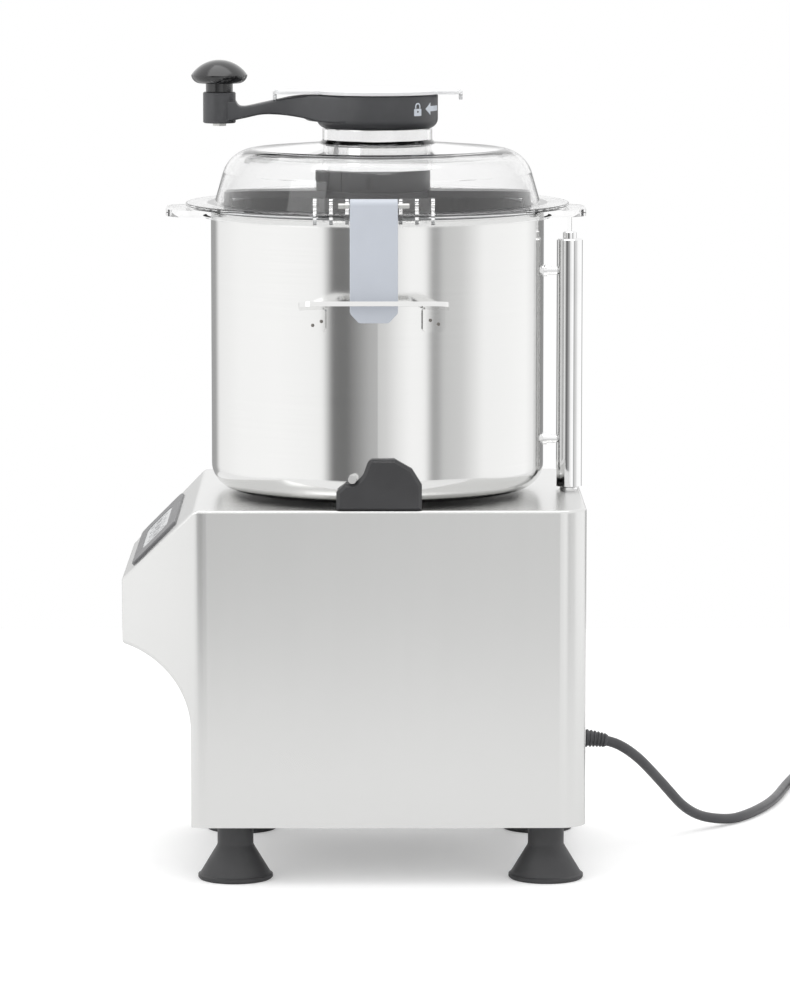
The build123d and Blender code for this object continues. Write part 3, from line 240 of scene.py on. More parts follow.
MATERIALS = {
    "housing_steel": brushed(
        "housing_steel", 0.72, 0.26, (420, 420, 5), fine=0.1, contrast=0.018, on_top=(5, 420, 420),
    ),
    "bowl_steel": brushed("bowl_steel", 0.77, 0.13, (6, 6, 900), fine=0.12, contrast=0.03),
    "blade_steel": brushed("blade_steel", 0.7, 0.16, (500, 60, 500)),
    "zinc_steel": brushed("zinc_steel", 0.55, 0.34, (300, 300, 300), tint=(1, 1, 0.97)),
    "chrome": brushed("chrome", 0.86, 0.05, (40, 40, 40), fine=0.1, tint=(1, 1, 1)),
    "clear_lid": clear("clear_lid", (1.0, 1.0, 1.0, 1), 0.0, 1.5),
    "frosted_cover": clear(
        "frosted_cover", (0.95, 0.955, 0.96, 1), 0.3, 1.45, haze=0.1, through=0.3,
    ),
    "crank_plastic": moulded("crank_plastic", (0.055, 0.056, 0.06), 0.42),
    "knob_plastic": moulded("knob_plastic", (0.012, 0.012, 0.013), 0.2, grain=0.000004, coat=0.4),
    "scraper_plastic": moulded("scraper_plastic", (0.036, 0.036, 0.039), 0.35),
    "latch_plastic": moulded(
        "latch_plastic", (0.5, 0.53, 0.585), 0.34, grain=0.000008, spread=0.02,
    ),
    "stop_plastic": moulded("stop_plastic", (0.032, 0.032, 0.034), 0.38),
    "foot_rubber": moulded("foot_rubber", (0.04, 0.04, 0.042), 0.5, grain=0.00003),
    "bezel_plastic": moulded("bezel_plastic", (0.13, 0.13, 0.135), 0.4),
    "display_film": moulded("display_film", (0.66, 0.67, 0.68), 0.22, grain=0.000004, spread=0.03),
    "circuit_board": moulded("circuit_board", (0.02, 0.16, 0.06), 0.4),
    "motor_paint": moulded("motor_paint", (0.06, 0.065, 0.07), 0.45),
    "cast_alloy": brushed("cast_alloy", 0.5, 0.45, (260, 260, 260)),
    "stator_iron": moulded("stator_iron", (0.2, 0.1, 0.05), 0.4),
    "seal_rubber": moulded("seal_rubber", (0.02, 0.02, 0.02), 0.5),
    "gasket_rubber": moulded("gasket_rubber", (0.5, 0.51, 0.52), 0.45, spread=0.04),
    "cord_rubber": moulded("cord_rubber", (0.05, 0.05, 0.054), 0.36, grain=0.00002),
}
MARK = moulded("mark_ink", (0.62, 0.66, 0.72), 0.5, grain=0.000002, spread=0.02)

NODE_SLOT = {part["node"]: part["material_slot"] for part in frame["record"]["subparts"]}
for node, slot in NODE_SLOT.items():
    holder = frame["nodes"][node]
    holder.data.materials.clear()
    holder.data.materials.append(MATERIALS[slot])


# Makers of pieces

def finished(obj, body, slot, replaces=(), material=None):
    """Links a piece, gives it its material, ties it to its body and hides the nodes it stands for.
    """
    if obj.name not in scene.collection.objects:
        scene.collection.objects.link(obj)
    obj.data.materials.clear()
    obj.data.materials.append(material or MATERIALS[slot])
    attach(obj, body)
    if replaces:
        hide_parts(*replaces)
    return obj


def cleaned(mesh, near):
    """Joins points nearer than a distance in metres and turns every face outwards."""
    shape = bmesh.new()
    shape.from_mesh(mesh)
    bmesh.ops.remove_doubles(shape, verts=shape.verts, dist=near)
    bmesh.ops.recalc_face_normals(shape, faces=shape.faces)
    shape.to_mesh(mesh)
    shape.free()


def softened(mesh, sharp_deg):
    """Smooth shading, with the edges over an angle kept sharp."""
    mesh.polygons.foreach_set("use_smooth", [True] * len(mesh.polygons))
    mesh.set_sharp_from_angle(angle=radians(sharp_deg))


def solid(name, points, faces, sharp_deg=32):
    """A mesh object from points in millimetres, smooth apart from its sharp edges."""
    mesh = bpy.data.meshes.new(name)
    mesh.from_pydata([Vector(p) * MM for p in points], [], faces)
    cleaned(mesh, 0.000001)
    softened(mesh, sharp_deg)
    return bpy.data.objects.new(name, mesh)


def band_faces(rings, sides, closed=False):
    """Four-sided faces between rings of points; closed also joins the last ring to the first."""
    faces = []
    for ring in range(rings if closed else rings - 1):
        after = (ring + 1) % rings
        for side in range(sides):
            beside = (side + 1) % sides
            faces.append((
                ring * sides + side,
                ring * sides + beside,
                after * sides + beside,
                after * sides + side,
            ))
    return faces


def turned(name, outline, centre=(0, AXIS_Y, 0), segments=SEGMENTS, sharp_deg=32):
    """A closed outline of (radius, height) turned about an upright axis."""
    points, faces = [], []
    rows = len(outline)
    for step in range(segments):
        turn = 2 * pi * step / segments
        for radius, height in outline:
            points.append((
                centre[0] + radius * cos(turn),
                centre[1] + radius * sin(turn),
                centre[2] + height,
            ))
    for step in range(segments):
        after = (step + 1) % segments
        for row in range(rows):
            above = (row + 1) % rows
            if outline[row][0] < 1e-6 and outline[above][0] < 1e-6:
                continue
            faces.append((
                step * rows + row,
                after * rows + row,
                after * rows + above,
                step * rows + above,
            ))
    return solid(name, points, faces, sharp_deg)


def arc(centre, radius, start_deg, end_deg, steps=8):
    """Points on an arc, ends included."""
    return [
        (
            centre[0] + radius * cos(radians(start_deg + (end_deg - start_deg) * i / steps)),
            centre[1] + radius * sin(radians(start_deg + (end_deg - start_deg) * i / steps)),
        )
        for i in range(steps + 1)
    ]


def rounded(corners, radius=1.0, steps=6):
    """A flat outline with its corners rounded; a corner's third value is its own radius."""
    outline = []
    for index, corner in enumerate(corners):
        here = Vector(corner[:2])
        before = Vector(corners[index - 1][:2]) - here
        after = Vector(corners[(index + 1) % len(corners)][:2]) - here
        own = corner[2] if len(corner) > 2 else radius
        half = before.angle(after) / 2
        if own < 0.01 or half > pi / 2 - 0.01:
            outline.append(tuple(here))
            continue
        start = here + before.normalized() * own / tan(half)
        end = here + after.normalized() * own / tan(half)
        inward = (before.normalized() + after.normalized()).normalized()
        middle = here + inward * own / sin(half)
        first, last = start - middle, end - middle
        turn = first.angle(last)
        for step in range(steps + 1):
            share = step / steps
            spoke = (first * sin((1 - share) * turn) + last * sin(share * turn)) / sin(turn)
            outline.append(tuple(middle + spoke))
    return outline


def plate(name, outlines, thickness, bevel, matrix, bevel_steps=3, sharp_deg=40):
    """A flat plate with holes, its edges rounded, from outlines in millimetres."""
    curve = bpy.data.curves.new(name, "CURVE")
    curve.dimensions = "2D"
    curve.fill_mode = "BOTH"
    curve.extrude = (thickness / 2 - bevel) * MM
    curve.bevel_depth = bevel * MM
    curve.bevel_resolution = bevel_steps
    curve.offset = -bevel * MM
    for outline in outlines:
        spline = curve.splines.new("POLY")
        spline.points.add(len(outline) - 1)
        for point, (x, y) in zip(spline.points, outline):
            point.co = (x * MM, y * MM, 0, 1)
        spline.use_cyclic_u = True
    holder = bpy.data.objects.new(name + "_curve", curve)
    mesh = bpy.data.meshes.new_from_object(holder)
    mesh.name = name
    bpy.data.objects.remove(holder)
    place = matrix.copy()
    place.translation *= MM
    mesh.transform(place)
    cleaned(mesh, 0.000002)
    softened(mesh, sharp_deg)
    return bpy.data.objects.new(name, mesh)


def standing(x_dir, y_dir, origin):
    """A placing matrix from two directions and an origin in millimetres."""
    across, up = Vector(x_dir), Vector(y_dir)
    out = across.cross(up)
    turn = Matrix((across, up, out)).transposed().to_4x4()
    turn.translation = Vector(origin)
    return turn


def joined(name, parts):
    """Several new objects made into one."""
    shape = bmesh.new()
    for part in parts:
        shape.from_mesh(part.data)
    mesh = bpy.data.meshes.new(name)
    shape.to_mesh(mesh)
    shape.free()
    for part in parts:
        bpy.data.objects.remove(part)
    mesh.set_sharp_from_angle(angle=radians(36))
    return bpy.data.objects.new(name, mesh)


# Cord

def coil_points():
    """The stored end: three turns inwards on the floor, then the rest outwards on top of them."""
    made = []
    steps = int(COIL_TURNS * 16)
    for step in range(steps + 1):
        turn = COIL_TURNS * step / steps
        inward = min(turn, 2.0)
        outward = max(0.0, min(turn, 5.0) - 3.0)
        radius = COIL_R + 2 * CORD_R * (1 - inward + outward)
        lift = soft_step(2.5, 3.0, turn)
        rise = soft_step(5.2, 5.75, turn)
        height = CORD_R * (1 + 2 * lift) + (PLUG_Z - 3 * CORD_R) * rise
        angle = -pi / 2 - 2 * pi * turn
        made.append((
            COIL_CENTRE[0] + radius * cos(angle),
            COIL_CENTRE[1] + radius * sin(angle),
            height,
        ))
    return made


cord_curve = bpy.data.curves.new("mains_cord", "CURVE")
cord_curve.dimensions = "3D"
cord_curve.bevel_depth = CORD_R * MM
cord_curve.bevel_resolution = 6
cord_curve.resolution_u = 8
cord_curve.use_fill_caps = True
plug_line = COIL_CENTRE[1] + COIL_R + 2 * CORD_R
cord_route = ROUTE + coil_points() + [
    (PLUG_START - 12, plug_line, 15.6),
    (PLUG_START - 5, plug_line, 16.8),
    (PLUG_START + 4, plug_line, PLUG_Z),
]
spline = cord_curve.splines.new("NURBS")
spline.points.add(len(cord_route) - 1)
for point, (x, y, z) in zip(spline.points, cord_route):
    point.co = (x * MM, y * MM, z * MM, 1)
spline.order_u = 3
spline.use_endpoint_u = True
mains_cord = bpy.data.objects.new("mains_cord", cord_curve)
finished(mains_cord, "root", "cord_rubber", ["power_cord", "cord_coil"])


def ring_outline(rows, sides):
    """Rings along +X: each row is (position, half width); returns points and faces."""
    points = []
    for position, half in rows:
        for side in range(sides):
            turn = 2 * pi * side / sides
            points.append((position, half * cos(turn), half * sin(turn)))
    faces = band_faces(len(rows), sides)
    faces.append(tuple(range(sides - 1, -1, -1)))
    faces.append(tuple((len(rows) - 1) * sides + side for side in range(sides)))
    return points, faces


# The plug: a ribbed relief, a body that widens and a rim round its face

PLUG_RELIEF = 18.0
PLUG_H = 38.0
PLUG_SIDES = 64
PIN_SIDES = 32
PIN_SPREAD = 9.5
relief_rows = [(0, CORD_R + 0.6)]
for rib in range(4):
    place = 2.5 + rib * 3.8
    half = CORD_R + 0.7 + rib * 0.4
    relief_rows += [
        (place, half),
        (place + 0.4, half + 0.9),
        (place + 2.0, half + 1.1),
        (place + 2.4, half + 0.1),
    ]
body_rows = [(PLUG_RELIEF, 6.2), (PLUG_RELIEF + 1, 7.6)]
for step in range(9):
    share = step / 8
    body_rows.append((PLUG_RELIEF + 1.5 + 24.5 * share, 8.2 + 6.9 * soft_step(0, 1, share)))
face_x = PLUG_RELIEF + PLUG_H
body_rows += [
    (face_x - 11.6, 15.8),
    (face_x - 11.0, 16.6),
    (face_x - 10.0, 16.95),
    (face_x - 1.4, 16.95),
    (face_x - 0.4, 16.5),
    (face_x, 15.6),
]
plug_points, plug_faces = ring_outline(relief_rows + body_rows, PLUG_SIDES)
plug_body = solid(
    "mains_plug",
    [(PLUG_START + x, plug_line + y, PLUG_Z + z) for x, y, z in plug_points],
    plug_faces,
)
finished(plug_body, "root", "cord_rubber", ["power_plug"])
for sign in (1, -1):
    pin_rows = [(-2, 2.4), (16.5, 2.4), (18, 2.1), (18.8, 1.3)]
    pin_points, pin_faces = ring_outline(pin_rows, PIN_SIDES)
    pin = solid(
        f"plug_pin_{'right' if sign > 0 else 'left'}",
        [
            (PLUG_START + face_x + x, plug_line + sign * PIN_SPREAD + y, PLUG_Z + z)
            for x, y, z in pin_points
        ],
        pin_faces,
    )
    finished(pin, "root", "chrome")

# Boot where the cord leaves the housing

def along_boot(share):
    """A point and a direction on the cord's first bend."""
    first, corner = Vector(ROUTE[0]), Vector(ROUTE[1])
    last = (Vector(ROUTE[1]) + Vector(ROUTE[2])) / 2
    point = first * (1 - share) ** 2 + corner * 2 * share * (1 - share) + last * share ** 2
    return point, ((corner - first) * (1 - share) + (last - corner) * share).normalized()


# Each row is (share of the bend, radius)
BOOT_SIDES = 48
boot_rows = [(0.155, 4.4), (0.155, 8.3), (0.2, 8.4), (0.205, 7.6), (0.22, 6.9)]
for rib in range(6):
    place = 0.235 + rib * 0.065
    half = 6.7 - rib * 0.3
    boot_rows += [
        (place, half - 0.7),
        (place + 0.022, half - 0.75),
        (place + 0.03, half),
        (place + 0.055, half - 0.05),
    ]
boot_rows += [(0.64, 4.7), (0.66, 4.3), (0.66, 3.9)]
boot_points = []
for share, half in boot_rows:
    middle, ahead = along_boot(share)
    across = ahead.cross(Vector((0, 0, 1))).normalized()
    up = across.cross(ahead)
    for side in range(BOOT_SIDES):
        turn = 2 * pi * side / BOOT_SIDES
        boot_points.append(middle + across * half * cos(turn) + up * half * sin(turn))
boot_faces = band_faces(len(boot_rows), BOOT_SIDES, closed=True)
finished(solid("cord_boot", boot_points, boot_faces), "root", "cord_rubber", ["cable_gland"])

# Marks on the hub and keys on the panel

ink_flat = Matrix.Identity(4)


def wrapped(name, outlines, body, slot):
    """A thin mark laid round the hub; x runs along the arc and y is the height."""
    obj = plate(name, outlines, 0.12, 0.03, ink_flat, bevel_steps=1)
    shape = bmesh.new()
    shape.from_mesh(obj.data)
    for cut in range(26, 64):
        bmesh.ops.bisect_plane(
            shape,
            geom=shape.verts[:] + shape.edges[:] + shape.faces[:],
            plane_co=(cut * MM, 0, 0),
            plane_no=(1, 0, 0),
        )
    for vert in shape.verts:
        turn = vert.co.x / (HUB_R * MM)
        radius = HUB_R * MM + vert.co.z + 0.00002
        vert.co = (radius * cos(turn), AXIS_Y * MM + radius * sin(turn), vert.co.y)
    shape.to_mesh(obj.data)
    shape.free()
    return finished(obj, body, slot, material=MARK)


lock_x, lock_low = 31.9, 547.0
wrapped("mark_padlock", [
    rounded([
        (lock_x - 3.5, lock_low), (lock_x + 3.5, lock_low),
        (lock_x + 3.5, lock_low + 5.2), (lock_x - 3.5, lock_low + 5.2),
    ], 0.6),
    arc((lock_x, lock_low + 3.1), 0.8, 0, 345, 12),
], "crank", "crank_plastic")
shackle_low = lock_low + 5.4
shackle_centre = (lock_x, lock_low + 7.0)
wrapped("mark_shackle", [
    [(lock_x + 2.5, shackle_low)]
    + arc(shackle_centre, 2.5, 0, 180, 12)
    + [(lock_x - 2.5, shackle_low), (lock_x - 1.5, shackle_low)]
    + arc(shackle_centre, 1.5, 180, 0, 12)
    + [(lock_x + 1.5, shackle_low)],
], "crank", "crank_plastic")
arrow_y = lock_low + 4.8
wrapped("mark_arrow", [[
    (40.0, arrow_y), (46.5, arrow_y - 4.6), (46.5, arrow_y - 1.9), (61.5, arrow_y - 1.9),
    (61.5, arrow_y + 1.9), (46.5, arrow_y + 1.9), (46.5, arrow_y + 4.6),
]], "crank", "crank_plastic")

# The panel slopes at 45 degrees, and the film stands a little above its middle
SLOPE = 0.70711
FILM_RISE = 2.03
PANEL = standing(
    (1, 0, 0),
    (0, SLOPE, SLOPE),
    (0, -144.6 - FILM_RISE * SLOPE, 241.4 + FILM_RISE * SLOPE),
)
KEY_R, KEY_BORE_R = 8.6, 7.9
KEY_T, KEY_BEVEL = 0.06, 0.01


def key(name, x, inner):
    """A printed key on the panel's film: a ring with a sign in it."""
    place = PANEL.copy()
    place.translation = PANEL @ Vector((x, 0, 0))
    rims = [arc((0, 0), radius, 0, 354, 59) for radius in (KEY_R, KEY_BORE_R)]
    ring = plate(name + "_ring", rims, KEY_T, KEY_BEVEL, place, 1)
    finished(ring, "root", "bezel_plastic")
    sign = plate(name + "_sign", [inner], KEY_T, KEY_BEVEL, place, 1)
    finished(sign, "root", "bezel_plastic")


key("key_start", 36, rounded([(-2.6, -3.8), (4.2, 0), (-2.6, 3.8)], 0.5))
key("key_pulse", 12, [
    (-4.6, -3.4), (-1.6, -3.4), (-1.6, 2.4), (1.6, 2.4), (1.6, -3.4), (4.6, -3.4),
    (4.6, -2.4), (2.6, -2.4), (2.6, 3.4), (-2.6, 3.4), (-2.6, -2.4), (-4.6, -2.4),
])
key("key_speed", -12, [
    (-4.4, -3.2), (4.4, -3.2), (4.4, 3.4), (2.4, 3.4), (2.4, 1.2),
    (0.9, 1.2), (0.9, -0.4), (-0.9, -0.4), (-0.9, -1.6), (-4.4, -1.6),
])
key("key_stop", -36, rounded([(-3, -3), (3, -3), (3, 3), (-3, 3)], 0.6))

# Crank: hub, arm and boss in one smooth lever

def smooth_line(stations, place):
    """A smooth curve through (position, value) stations that rise in position."""
    place = min(max(place, stations[0][0]), stations[-1][0])
    for index in range(len(stations) - 1):
        low, high = stations[index], stations[index + 1]
        if place <= high[0]:
            break
    share = (place - low[0]) / (high[0] - low[0])
    before = stations[max(index - 1, 0)]
    after = stations[min(index + 2, len(stations) - 1)]
    step = high[0] - low[0]
    rise_in = (high[1] - before[1]) / (high[0] - before[0]) * step
    rise_out = (after[1] - low[1]) / (after[0] - low[0]) * step
    cube, square = share ** 3, share ** 2
    return (
        low[1] * (2 * cube - 3 * square + 1) + rise_in * (cube - 2 * square + share)
        + high[1] * (3 * square - 2 * cube) + rise_out * (cube - square)
    )


# Stations along the arm, as (distance from the axis, value)
ARM_START = 20
ARM_TOP = [
    (20, 560.7), (44, 560.6), (61.2, 559.8), (74, 557.4), (85.2, 555.0), (95, 552.9), (99, 552.7),
    (101.5, 553.6), (103.4, 556.6), (115.2, 557),
]
ARM_LOW = [
    (20, 542.2), (40, 542.4), (52, 544.4), (61.2, 545.8), (72, 546.9), (84.2, 546.9),
    (96.2, 544.4), (115.2, 540.5),
]
ARM_HALF = [
    (20, 39.3), (29, 35.0), (38, 29.4), (47, 22.8), (57, 16.8), (68, 12.8), (80, 11.0),
    (98, 10.3), (115.2, 10.0),
]
ARM_EDGE_R = 1.8
ARM_BULGE, ARM_BULGE_END = 20, 62
ARM_ROWS = 64
arm_points = []
for row in range(ARM_ROWS + 1):
    reach = ARM_START + (ARM_REACH - ARM_START) * row / ARM_ROWS
    half = smooth_line(ARM_HALF, reach)
    top, low = smooth_line(ARM_TOP, reach), smooth_line(ARM_LOW, reach)
    bulge = ARM_BULGE * (1 - soft_step(ARM_START, ARM_BULGE_END, reach))
    inner = half - ARM_EDGE_R
    section = (
        arc((inner, low + ARM_EDGE_R), ARM_EDGE_R, -90, 0, 5)
        + arc((inner, top - ARM_EDGE_R), ARM_EDGE_R, 0, 90, 5)
        + [(inner * (1 - i / 6), top) for i in range(1, 12)]
        + arc((-inner, top - ARM_EDGE_R), ARM_EDGE_R, 90, 180, 5)
        + arc((-inner, low + ARM_EDGE_R), ARM_EDGE_R, 180, 270, 5)
        + [(-inner * (1 - i / 6), low) for i in range(1, 12)]
    )
    arm_points += [(x, AXIS_Y - reach - bulge * (1 - (x / half) ** 2), z) for x, z in section]
sides = len(section)
arm_faces = band_faces(ARM_ROWS + 1, sides)
arm_faces += [tuple(range(sides)), tuple(range(ARM_ROWS * sides, (ARM_ROWS + 1) * sides))]

SLEEVE_R = 36.65
HUB_BORE_R = 33.5
HUB_STEP = 12
hub_outline = rounded([
    (SLEEVE_R, HUB_Z, 0.3), (HUB_R, HUB_Z, 7.2), (HUB_R, HUB_TOP, 1.5), (HUB_BORE_R, HUB_TOP, 0.8),
    (HUB_BORE_R, HUB_Z + HUB_STEP, 0.3), (SLEEVE_R, HUB_Z + HUB_STEP, 0.3),
], steps=8)
BOSS_LOW, BOSS_TOP, BOSS_R, BOSS_BORE_R = 540.4, 563.1, 11.9, 3.05
boss_outline = rounded([
    (BOSS_BORE_R, BOSS_LOW, 0.3), (BOSS_R, BOSS_LOW, 1.2),
    (BOSS_R, BOSS_TOP, 1.2), (BOSS_BORE_R, BOSS_TOP, 0.3),
])
lever = joined("crank_lever", [
    turned("lever_hub", hub_outline),
    solid("lever_arm", arm_points, arm_faces),
    turned("lever_boss", boss_outline, centre=(0, KNOB_Y, 0), segments=96),
])
finished(lever, "crank", "crank_plastic", ["crank_arm"])

# Scraper's ring with its upright slot and groove

def cut_from(obj, cutters):
    """A piece with other pieces cut out of it."""
    scene.collection.objects.link(obj)
    for cutter in cutters:
        scene.collection.objects.link(cutter)
        modifier = obj.modifiers.new("cut", "BOOLEAN")
        modifier.operation = "DIFFERENCE"
        modifier.solver = "EXACT"
        modifier.object = cutter
    bpy.context.view_layer.update()
    evaluated = obj.evaluated_get(bpy.context.evaluated_depsgraph_get())
    mesh = bpy.data.meshes.new_from_object(evaluated)
    obj.modifiers.clear()
    obj.data = mesh
    for cutter in cutters:
        bpy.data.objects.remove(cutter)
    softened(mesh, 30)
    return obj


RING_R = 38.65
RING_H = 17.9
RING_MIDDLE = 498.9
LOBE_X, LOBE_R = 8.8, 6.15
ring_plan = (
    arc((0, 0), RING_R, -67.16, 247.16, 120)
    + arc((-LOBE_X, -RING_R), LOBE_R, 180, 270, 10)
    + arc((LOBE_X, -RING_R), LOBE_R, 270, 360, 10)
)
scraper_ring = plate(
    "scraper_ring", [ring_plan, arc((0, 0), SLEEVE_R, 0, 357, 119)], RING_H, 0.5,
    standing((1, 0, 0), (0, 1, 0), (0, AXIS_Y, RING_MIDDLE)),
)


def slot_plate(name, radius, thickness, bevel, x, bevel_steps):
    """A plate with the slot's outline, upright across X."""
    outline = arc((0, SLOT_HALF), radius, 0, 180, 12) + arc((0, -SLOT_HALF), radius, 180, 360, 12)
    place = standing((0, 1, 0), (0, 0, 1), (x, SLOT_Y, SLOT_Z))
    return plate(name, [outline], thickness, bevel, place, bevel_steps)


SLOT_R, SLOT_HALF = 2.0, 3.6
SLOT_Y, SLOT_Z = AXIS_Y - 6.1, RING_MIDDLE - 1.2
slot_cutter = slot_plate("slot_cutter", SLOT_R, 20, 0.01, 47.1, 0)
GROOVE_REACH = 42.8
groove_turn = radians(-39.3)
groove_cutter = plate(
    "groove_cutter", [[(-5, -2.6), (5, -2.6), (5, 2.6), (-5, 2.6)]], 30, 0.01,
    standing(
        (cos(groove_turn), sin(groove_turn), 0),
        (-sin(groove_turn), cos(groove_turn), 0),
        (GROOVE_REACH * cos(groove_turn), AXIS_Y + GROOVE_REACH * sin(groove_turn), RING_MIDDLE),
    ), 0,
)
scraper_ring = cut_from(scraper_ring, [slot_cutter, groove_cutter])
finished(scraper_ring, "crank", "scraper_plastic", ["scraper_hub"])
# Painted shade: a thin dark plate laid in the floor of the slot's shallow recess, so the slot reads
# dark as if it were deep
slot_painted_shade = slot_plate("slot_painted_shade", 1.9, 0.3, 0.05, 37.3, 1)
finished(slot_painted_shade, "crank", "seal_rubber")

# Side latches with soft edges

PIN_X, PIN_Z, PIN_BORE_R = 138.5, 488.9, 2.1
LATCH_Y = AXIS_Y - 2.7
LATCH_HALF, LATCH_DROP, LATCH_T = 17.0, 82.4, 3.0
BARREL_R = 5.0
barrel_outline = rounded([
    (PIN_BORE_R, -LATCH_HALF, 0.2), (BARREL_R, -LATCH_HALF, 0.7),
    (BARREL_R, LATCH_HALF, 0.7), (PIN_BORE_R, LATCH_HALF, 0.2),
])
tongue_outline = rounded([
    (-LATCH_HALF, 0.4, 0), (-LATCH_HALF, 7 - LATCH_DROP, 4), (6.5 - LATCH_HALF, -LATCH_DROP, 3.5),
    (LATCH_HALF - 6.5, -LATCH_DROP, 3.5), (LATCH_HALF, 7 - LATCH_DROP, 4), (LATCH_HALF, 0.4, 0),
])
for side, hand in ((1, "right"), (-1, "left")):
    barrel = turned(f"barrel_{hand}", barrel_outline, centre=(0, 0, 0), segments=64)
    place = Matrix.Rotation(radians(-90), 4, "X")
    place.translation = Vector((side * PIN_X, LATCH_Y, PIN_Z)) * MM
    barrel.data.transform(place)
    tongue = plate(
        f"tongue_{hand}", [tongue_outline], LATCH_T, 0.75,
        standing((0, side, 0), (0, 0, 1), (side * (PIN_X + BARREL_R - LATCH_T / 2), LATCH_Y, PIN_Z)),
    )
    latch = joined(f"latch_{hand}_tongue", [barrel, tongue])
    finished(latch, f"latch_{hand}", "latch_plastic", [f"latch_{hand}"])

# Spot welds on the handles' flanges

FLANGE_R = 123.75
WELDS = [(-46.2, 402.6), (-40.0, 405.6), (37.4, 406.4), (43.2, 403.5)]
WELD_TINT = brushed("weld_tint", 0.2, 0.4, (300, 300, 300), tint=(1, 0.95, 0.88))
welds = []
for side in (1, -1):
    for reach, height in WELDS:
        lean = math.asin(reach / FLANGE_R)
        out = Vector((side * cos(lean), sin(lean), 0))
        across = Vector((-side * sin(lean), cos(lean), 0)) * side
        welds.append(plate(
            f"weld_{len(welds)}", [arc((0, 0), 1.25, 0, 345, 23)], 0.5, 0.15,
            standing(across, (0, 0, 1), Vector((0, AXIS_Y, height)) + out * FLANGE_R),
        ))
finished(joined("handle_welds", welds), "bowl", "bowl_steel", material=WELD_TINT)

# Stage: floor, world and lamps

def seen_directly(tree):
    """1 for rays from the camera and rays through clear pieces, and 0 for all others."""
    rays = tree.nodes.new("ShaderNodeLightPath")
    seen = tree.nodes.new("ShaderNodeMath")
    seen.operation = "MAXIMUM"
    tree.links.new(rays.outputs["Is Camera Ray"], seen.inputs[0])
    tree.links.new(rays.outputs["Is Transmission Ray"], seen.inputs[1])
    return seen.outputs[0]


FLOOR_HALF = 1.1
FLOOR_GLOW = 0.28
floor_mesh = bpy.data.meshes.new("floor")
floor_corners = [
    (-FLOOR_HALF, -FLOOR_HALF, 0), (FLOOR_HALF, -FLOOR_HALF, 0),
    (FLOOR_HALF, FLOOR_HALF, 0), (-FLOOR_HALF, FLOOR_HALF, 0),
]
floor_mesh.from_pydata(floor_corners, [], [(0, 1, 2, 3)])
floor = bpy.data.objects.new("floor", floor_mesh)
floor.location.z = -0.0002
scene.collection.objects.link(floor)

floor_material = bpy.data.materials.new("floor")
floor_material.use_nodes = True
tree = floor_material.node_tree
tree.nodes.clear()
out = tree.nodes.new("ShaderNodeOutputMaterial")
diffuse = tree.nodes.new("ShaderNodeBsdfDiffuse")
diffuse.inputs["Color"].default_value = grey(0.8)
glow = tree.nodes.new("ShaderNodeEmission")
gain = tree.nodes.new("ShaderNodeMath")
gain.operation = "MULTIPLY"
gain.inputs[1].default_value = FLOOR_GLOW
tree.links.new(seen_directly(tree), gain.inputs[0])
tree.links.new(gain.outputs[0], glow.inputs["Strength"])
both = tree.nodes.new("ShaderNodeAddShader")
tree.links.new(diffuse.outputs[0], both.inputs[0])
tree.links.new(glow.outputs[0], both.inputs[1])
tree.links.new(both.outputs[0], out.inputs["Surface"])
floor_mesh.materials.append(floor_material)

# The studio round the object, as (azimuth from +X towards +Y in degrees, grey level)
STUDIO = [
    (-180, 0.30), (-152, 0.34), (-143, 0.86), (-110, 0.98), (-75, 1.0), (-38, 0.95), (-31, 0.15),
    (-21, 0.15), (-3, 0.48), (14, 0.86), (22, 0.98), (33, 0.98), (38, 0.34), (42, 0.38),
    (46, 0.58), (60, 0.64), (78, 0.95), (125, 1.0), (140, 0.8), (148, 0.24), (180, 0.30),
]
STUDIO_STRENGTH = 1.2
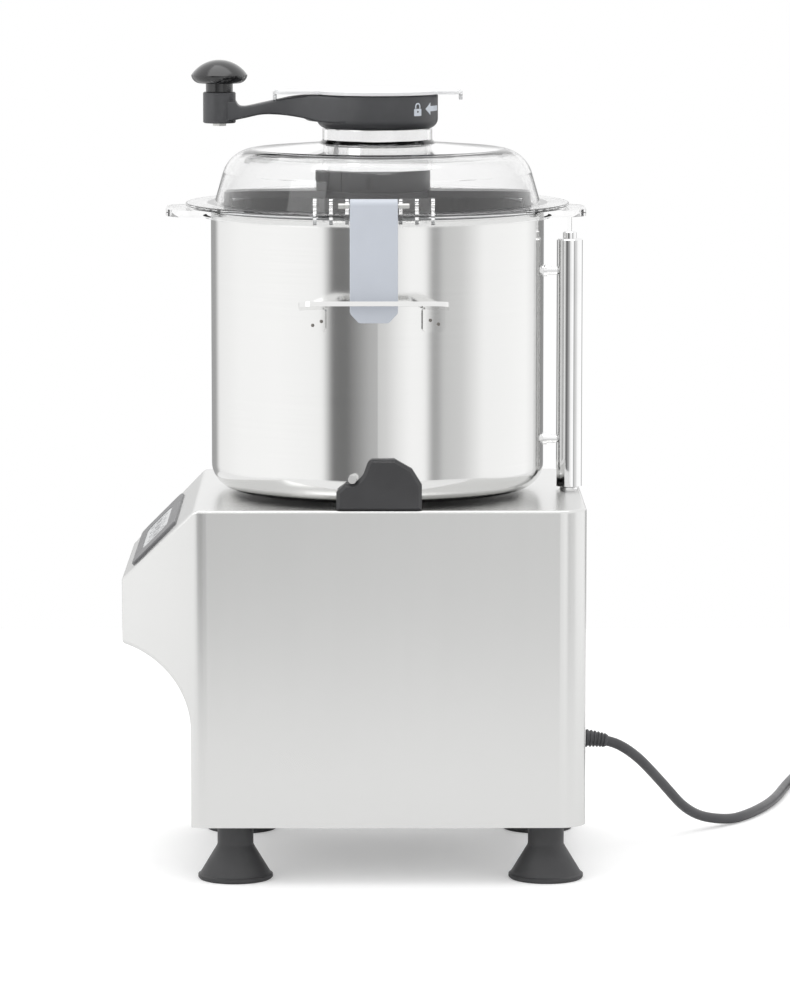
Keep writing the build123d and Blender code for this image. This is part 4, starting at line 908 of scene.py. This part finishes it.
# Between these heights of a direction the bands give way to one even level overhead
BANDS_END, OVERHEAD_START = -0.05, 0.1
OVERHEAD_LEVEL = 0.92
world = bpy.data.worlds.new("studio")
scene.world = world
world.use_nodes = True
tree = world.node_tree
tree.nodes.clear()
out = tree.nodes.new("ShaderNodeOutputWorld")
direction = tree.nodes.new("ShaderNodeSeparateXYZ")
where = tree.nodes.new("ShaderNodeTexCoord")
tree.links.new(where.outputs["Generated"], direction.inputs[0])
azimuth = tree.nodes.new("ShaderNodeMath")
azimuth.operation = "ARCTAN2"
tree.links.new(direction.outputs["Y"], azimuth.inputs[0])
tree.links.new(direction.outputs["X"], azimuth.inputs[1])
share = tree.nodes.new("ShaderNodeMapRange")
share.inputs["From Min"].default_value = -pi
share.inputs["From Max"].default_value = pi
tree.links.new(azimuth.outputs[0], share.inputs["Value"])
bands = tree.nodes.new("ShaderNodeValToRGB")
for index, (degrees_round, level) in enumerate(STUDIO):
    place = (degrees_round + 180) / 360
    if index < 2:
        stop = bands.color_ramp.elements[index]
        stop.position = place
    else:
        stop = bands.color_ramp.elements.new(place)
    stop.color = grey(level)
tree.links.new(share.outputs["Result"], bands.inputs["Fac"])
height_ramp = tree.nodes.new("ShaderNodeMapRange")
height_ramp.inputs["From Min"].default_value = BANDS_END
height_ramp.inputs["From Max"].default_value = OVERHEAD_START
tree.links.new(direction.outputs["Z"], height_ramp.inputs["Value"])
overhead = tree.nodes.new("ShaderNodeMix")
overhead.data_type = "RGBA"
tree.links.new(height_ramp.outputs["Result"], overhead.inputs["Factor"])
colour_inputs = [i for i in overhead.inputs if i.type == "RGBA"]
tree.links.new(bands.outputs["Color"], colour_inputs[0])
colour_inputs[1].default_value = grey(OVERHEAD_LEVEL)
overhead_colour = [o for o in overhead.outputs if o.type == "RGBA"][0]
studio_light = tree.nodes.new("ShaderNodeBackground")
tree.links.new(overhead_colour, studio_light.inputs["Color"])
studio_light.inputs["Strength"].default_value = STUDIO_STRENGTH
white = tree.nodes.new("ShaderNodeBackground")
white.inputs["Color"].default_value = grey(1.0)
mix = tree.nodes.new("ShaderNodeMixShader")
tree.links.new(seen_directly(tree), mix.inputs["Fac"])
tree.links.new(studio_light.outputs[0], mix.inputs[1])
tree.links.new(white.outputs[0], mix.inputs[2])
tree.links.new(mix.outputs[0], out.inputs["Surface"])


def lamp(name, place, target, size, power):
    """A square soft lamp aimed at a point."""
    data = bpy.data.lights.new(name, "AREA")
    data.size = size
    data.energy = power
    made = bpy.data.objects.new(name, data)
    made.location = place
    made.rotation_euler = (Vector(target) - Vector(place)).to_track_quat("-Z", "Y").to_euler()
    scene.collection.objects.link(made)


lamp("overhead_lamp", (0.2, -0.1, 2.2), (0, 0.02, 0.2), 1.6, 12)
lamp("left_lamp", (1.4, -1.9, 1.2), (0, 0, 0.35), 1.2, 5)

scene.view_settings.view_transform = "Standard"
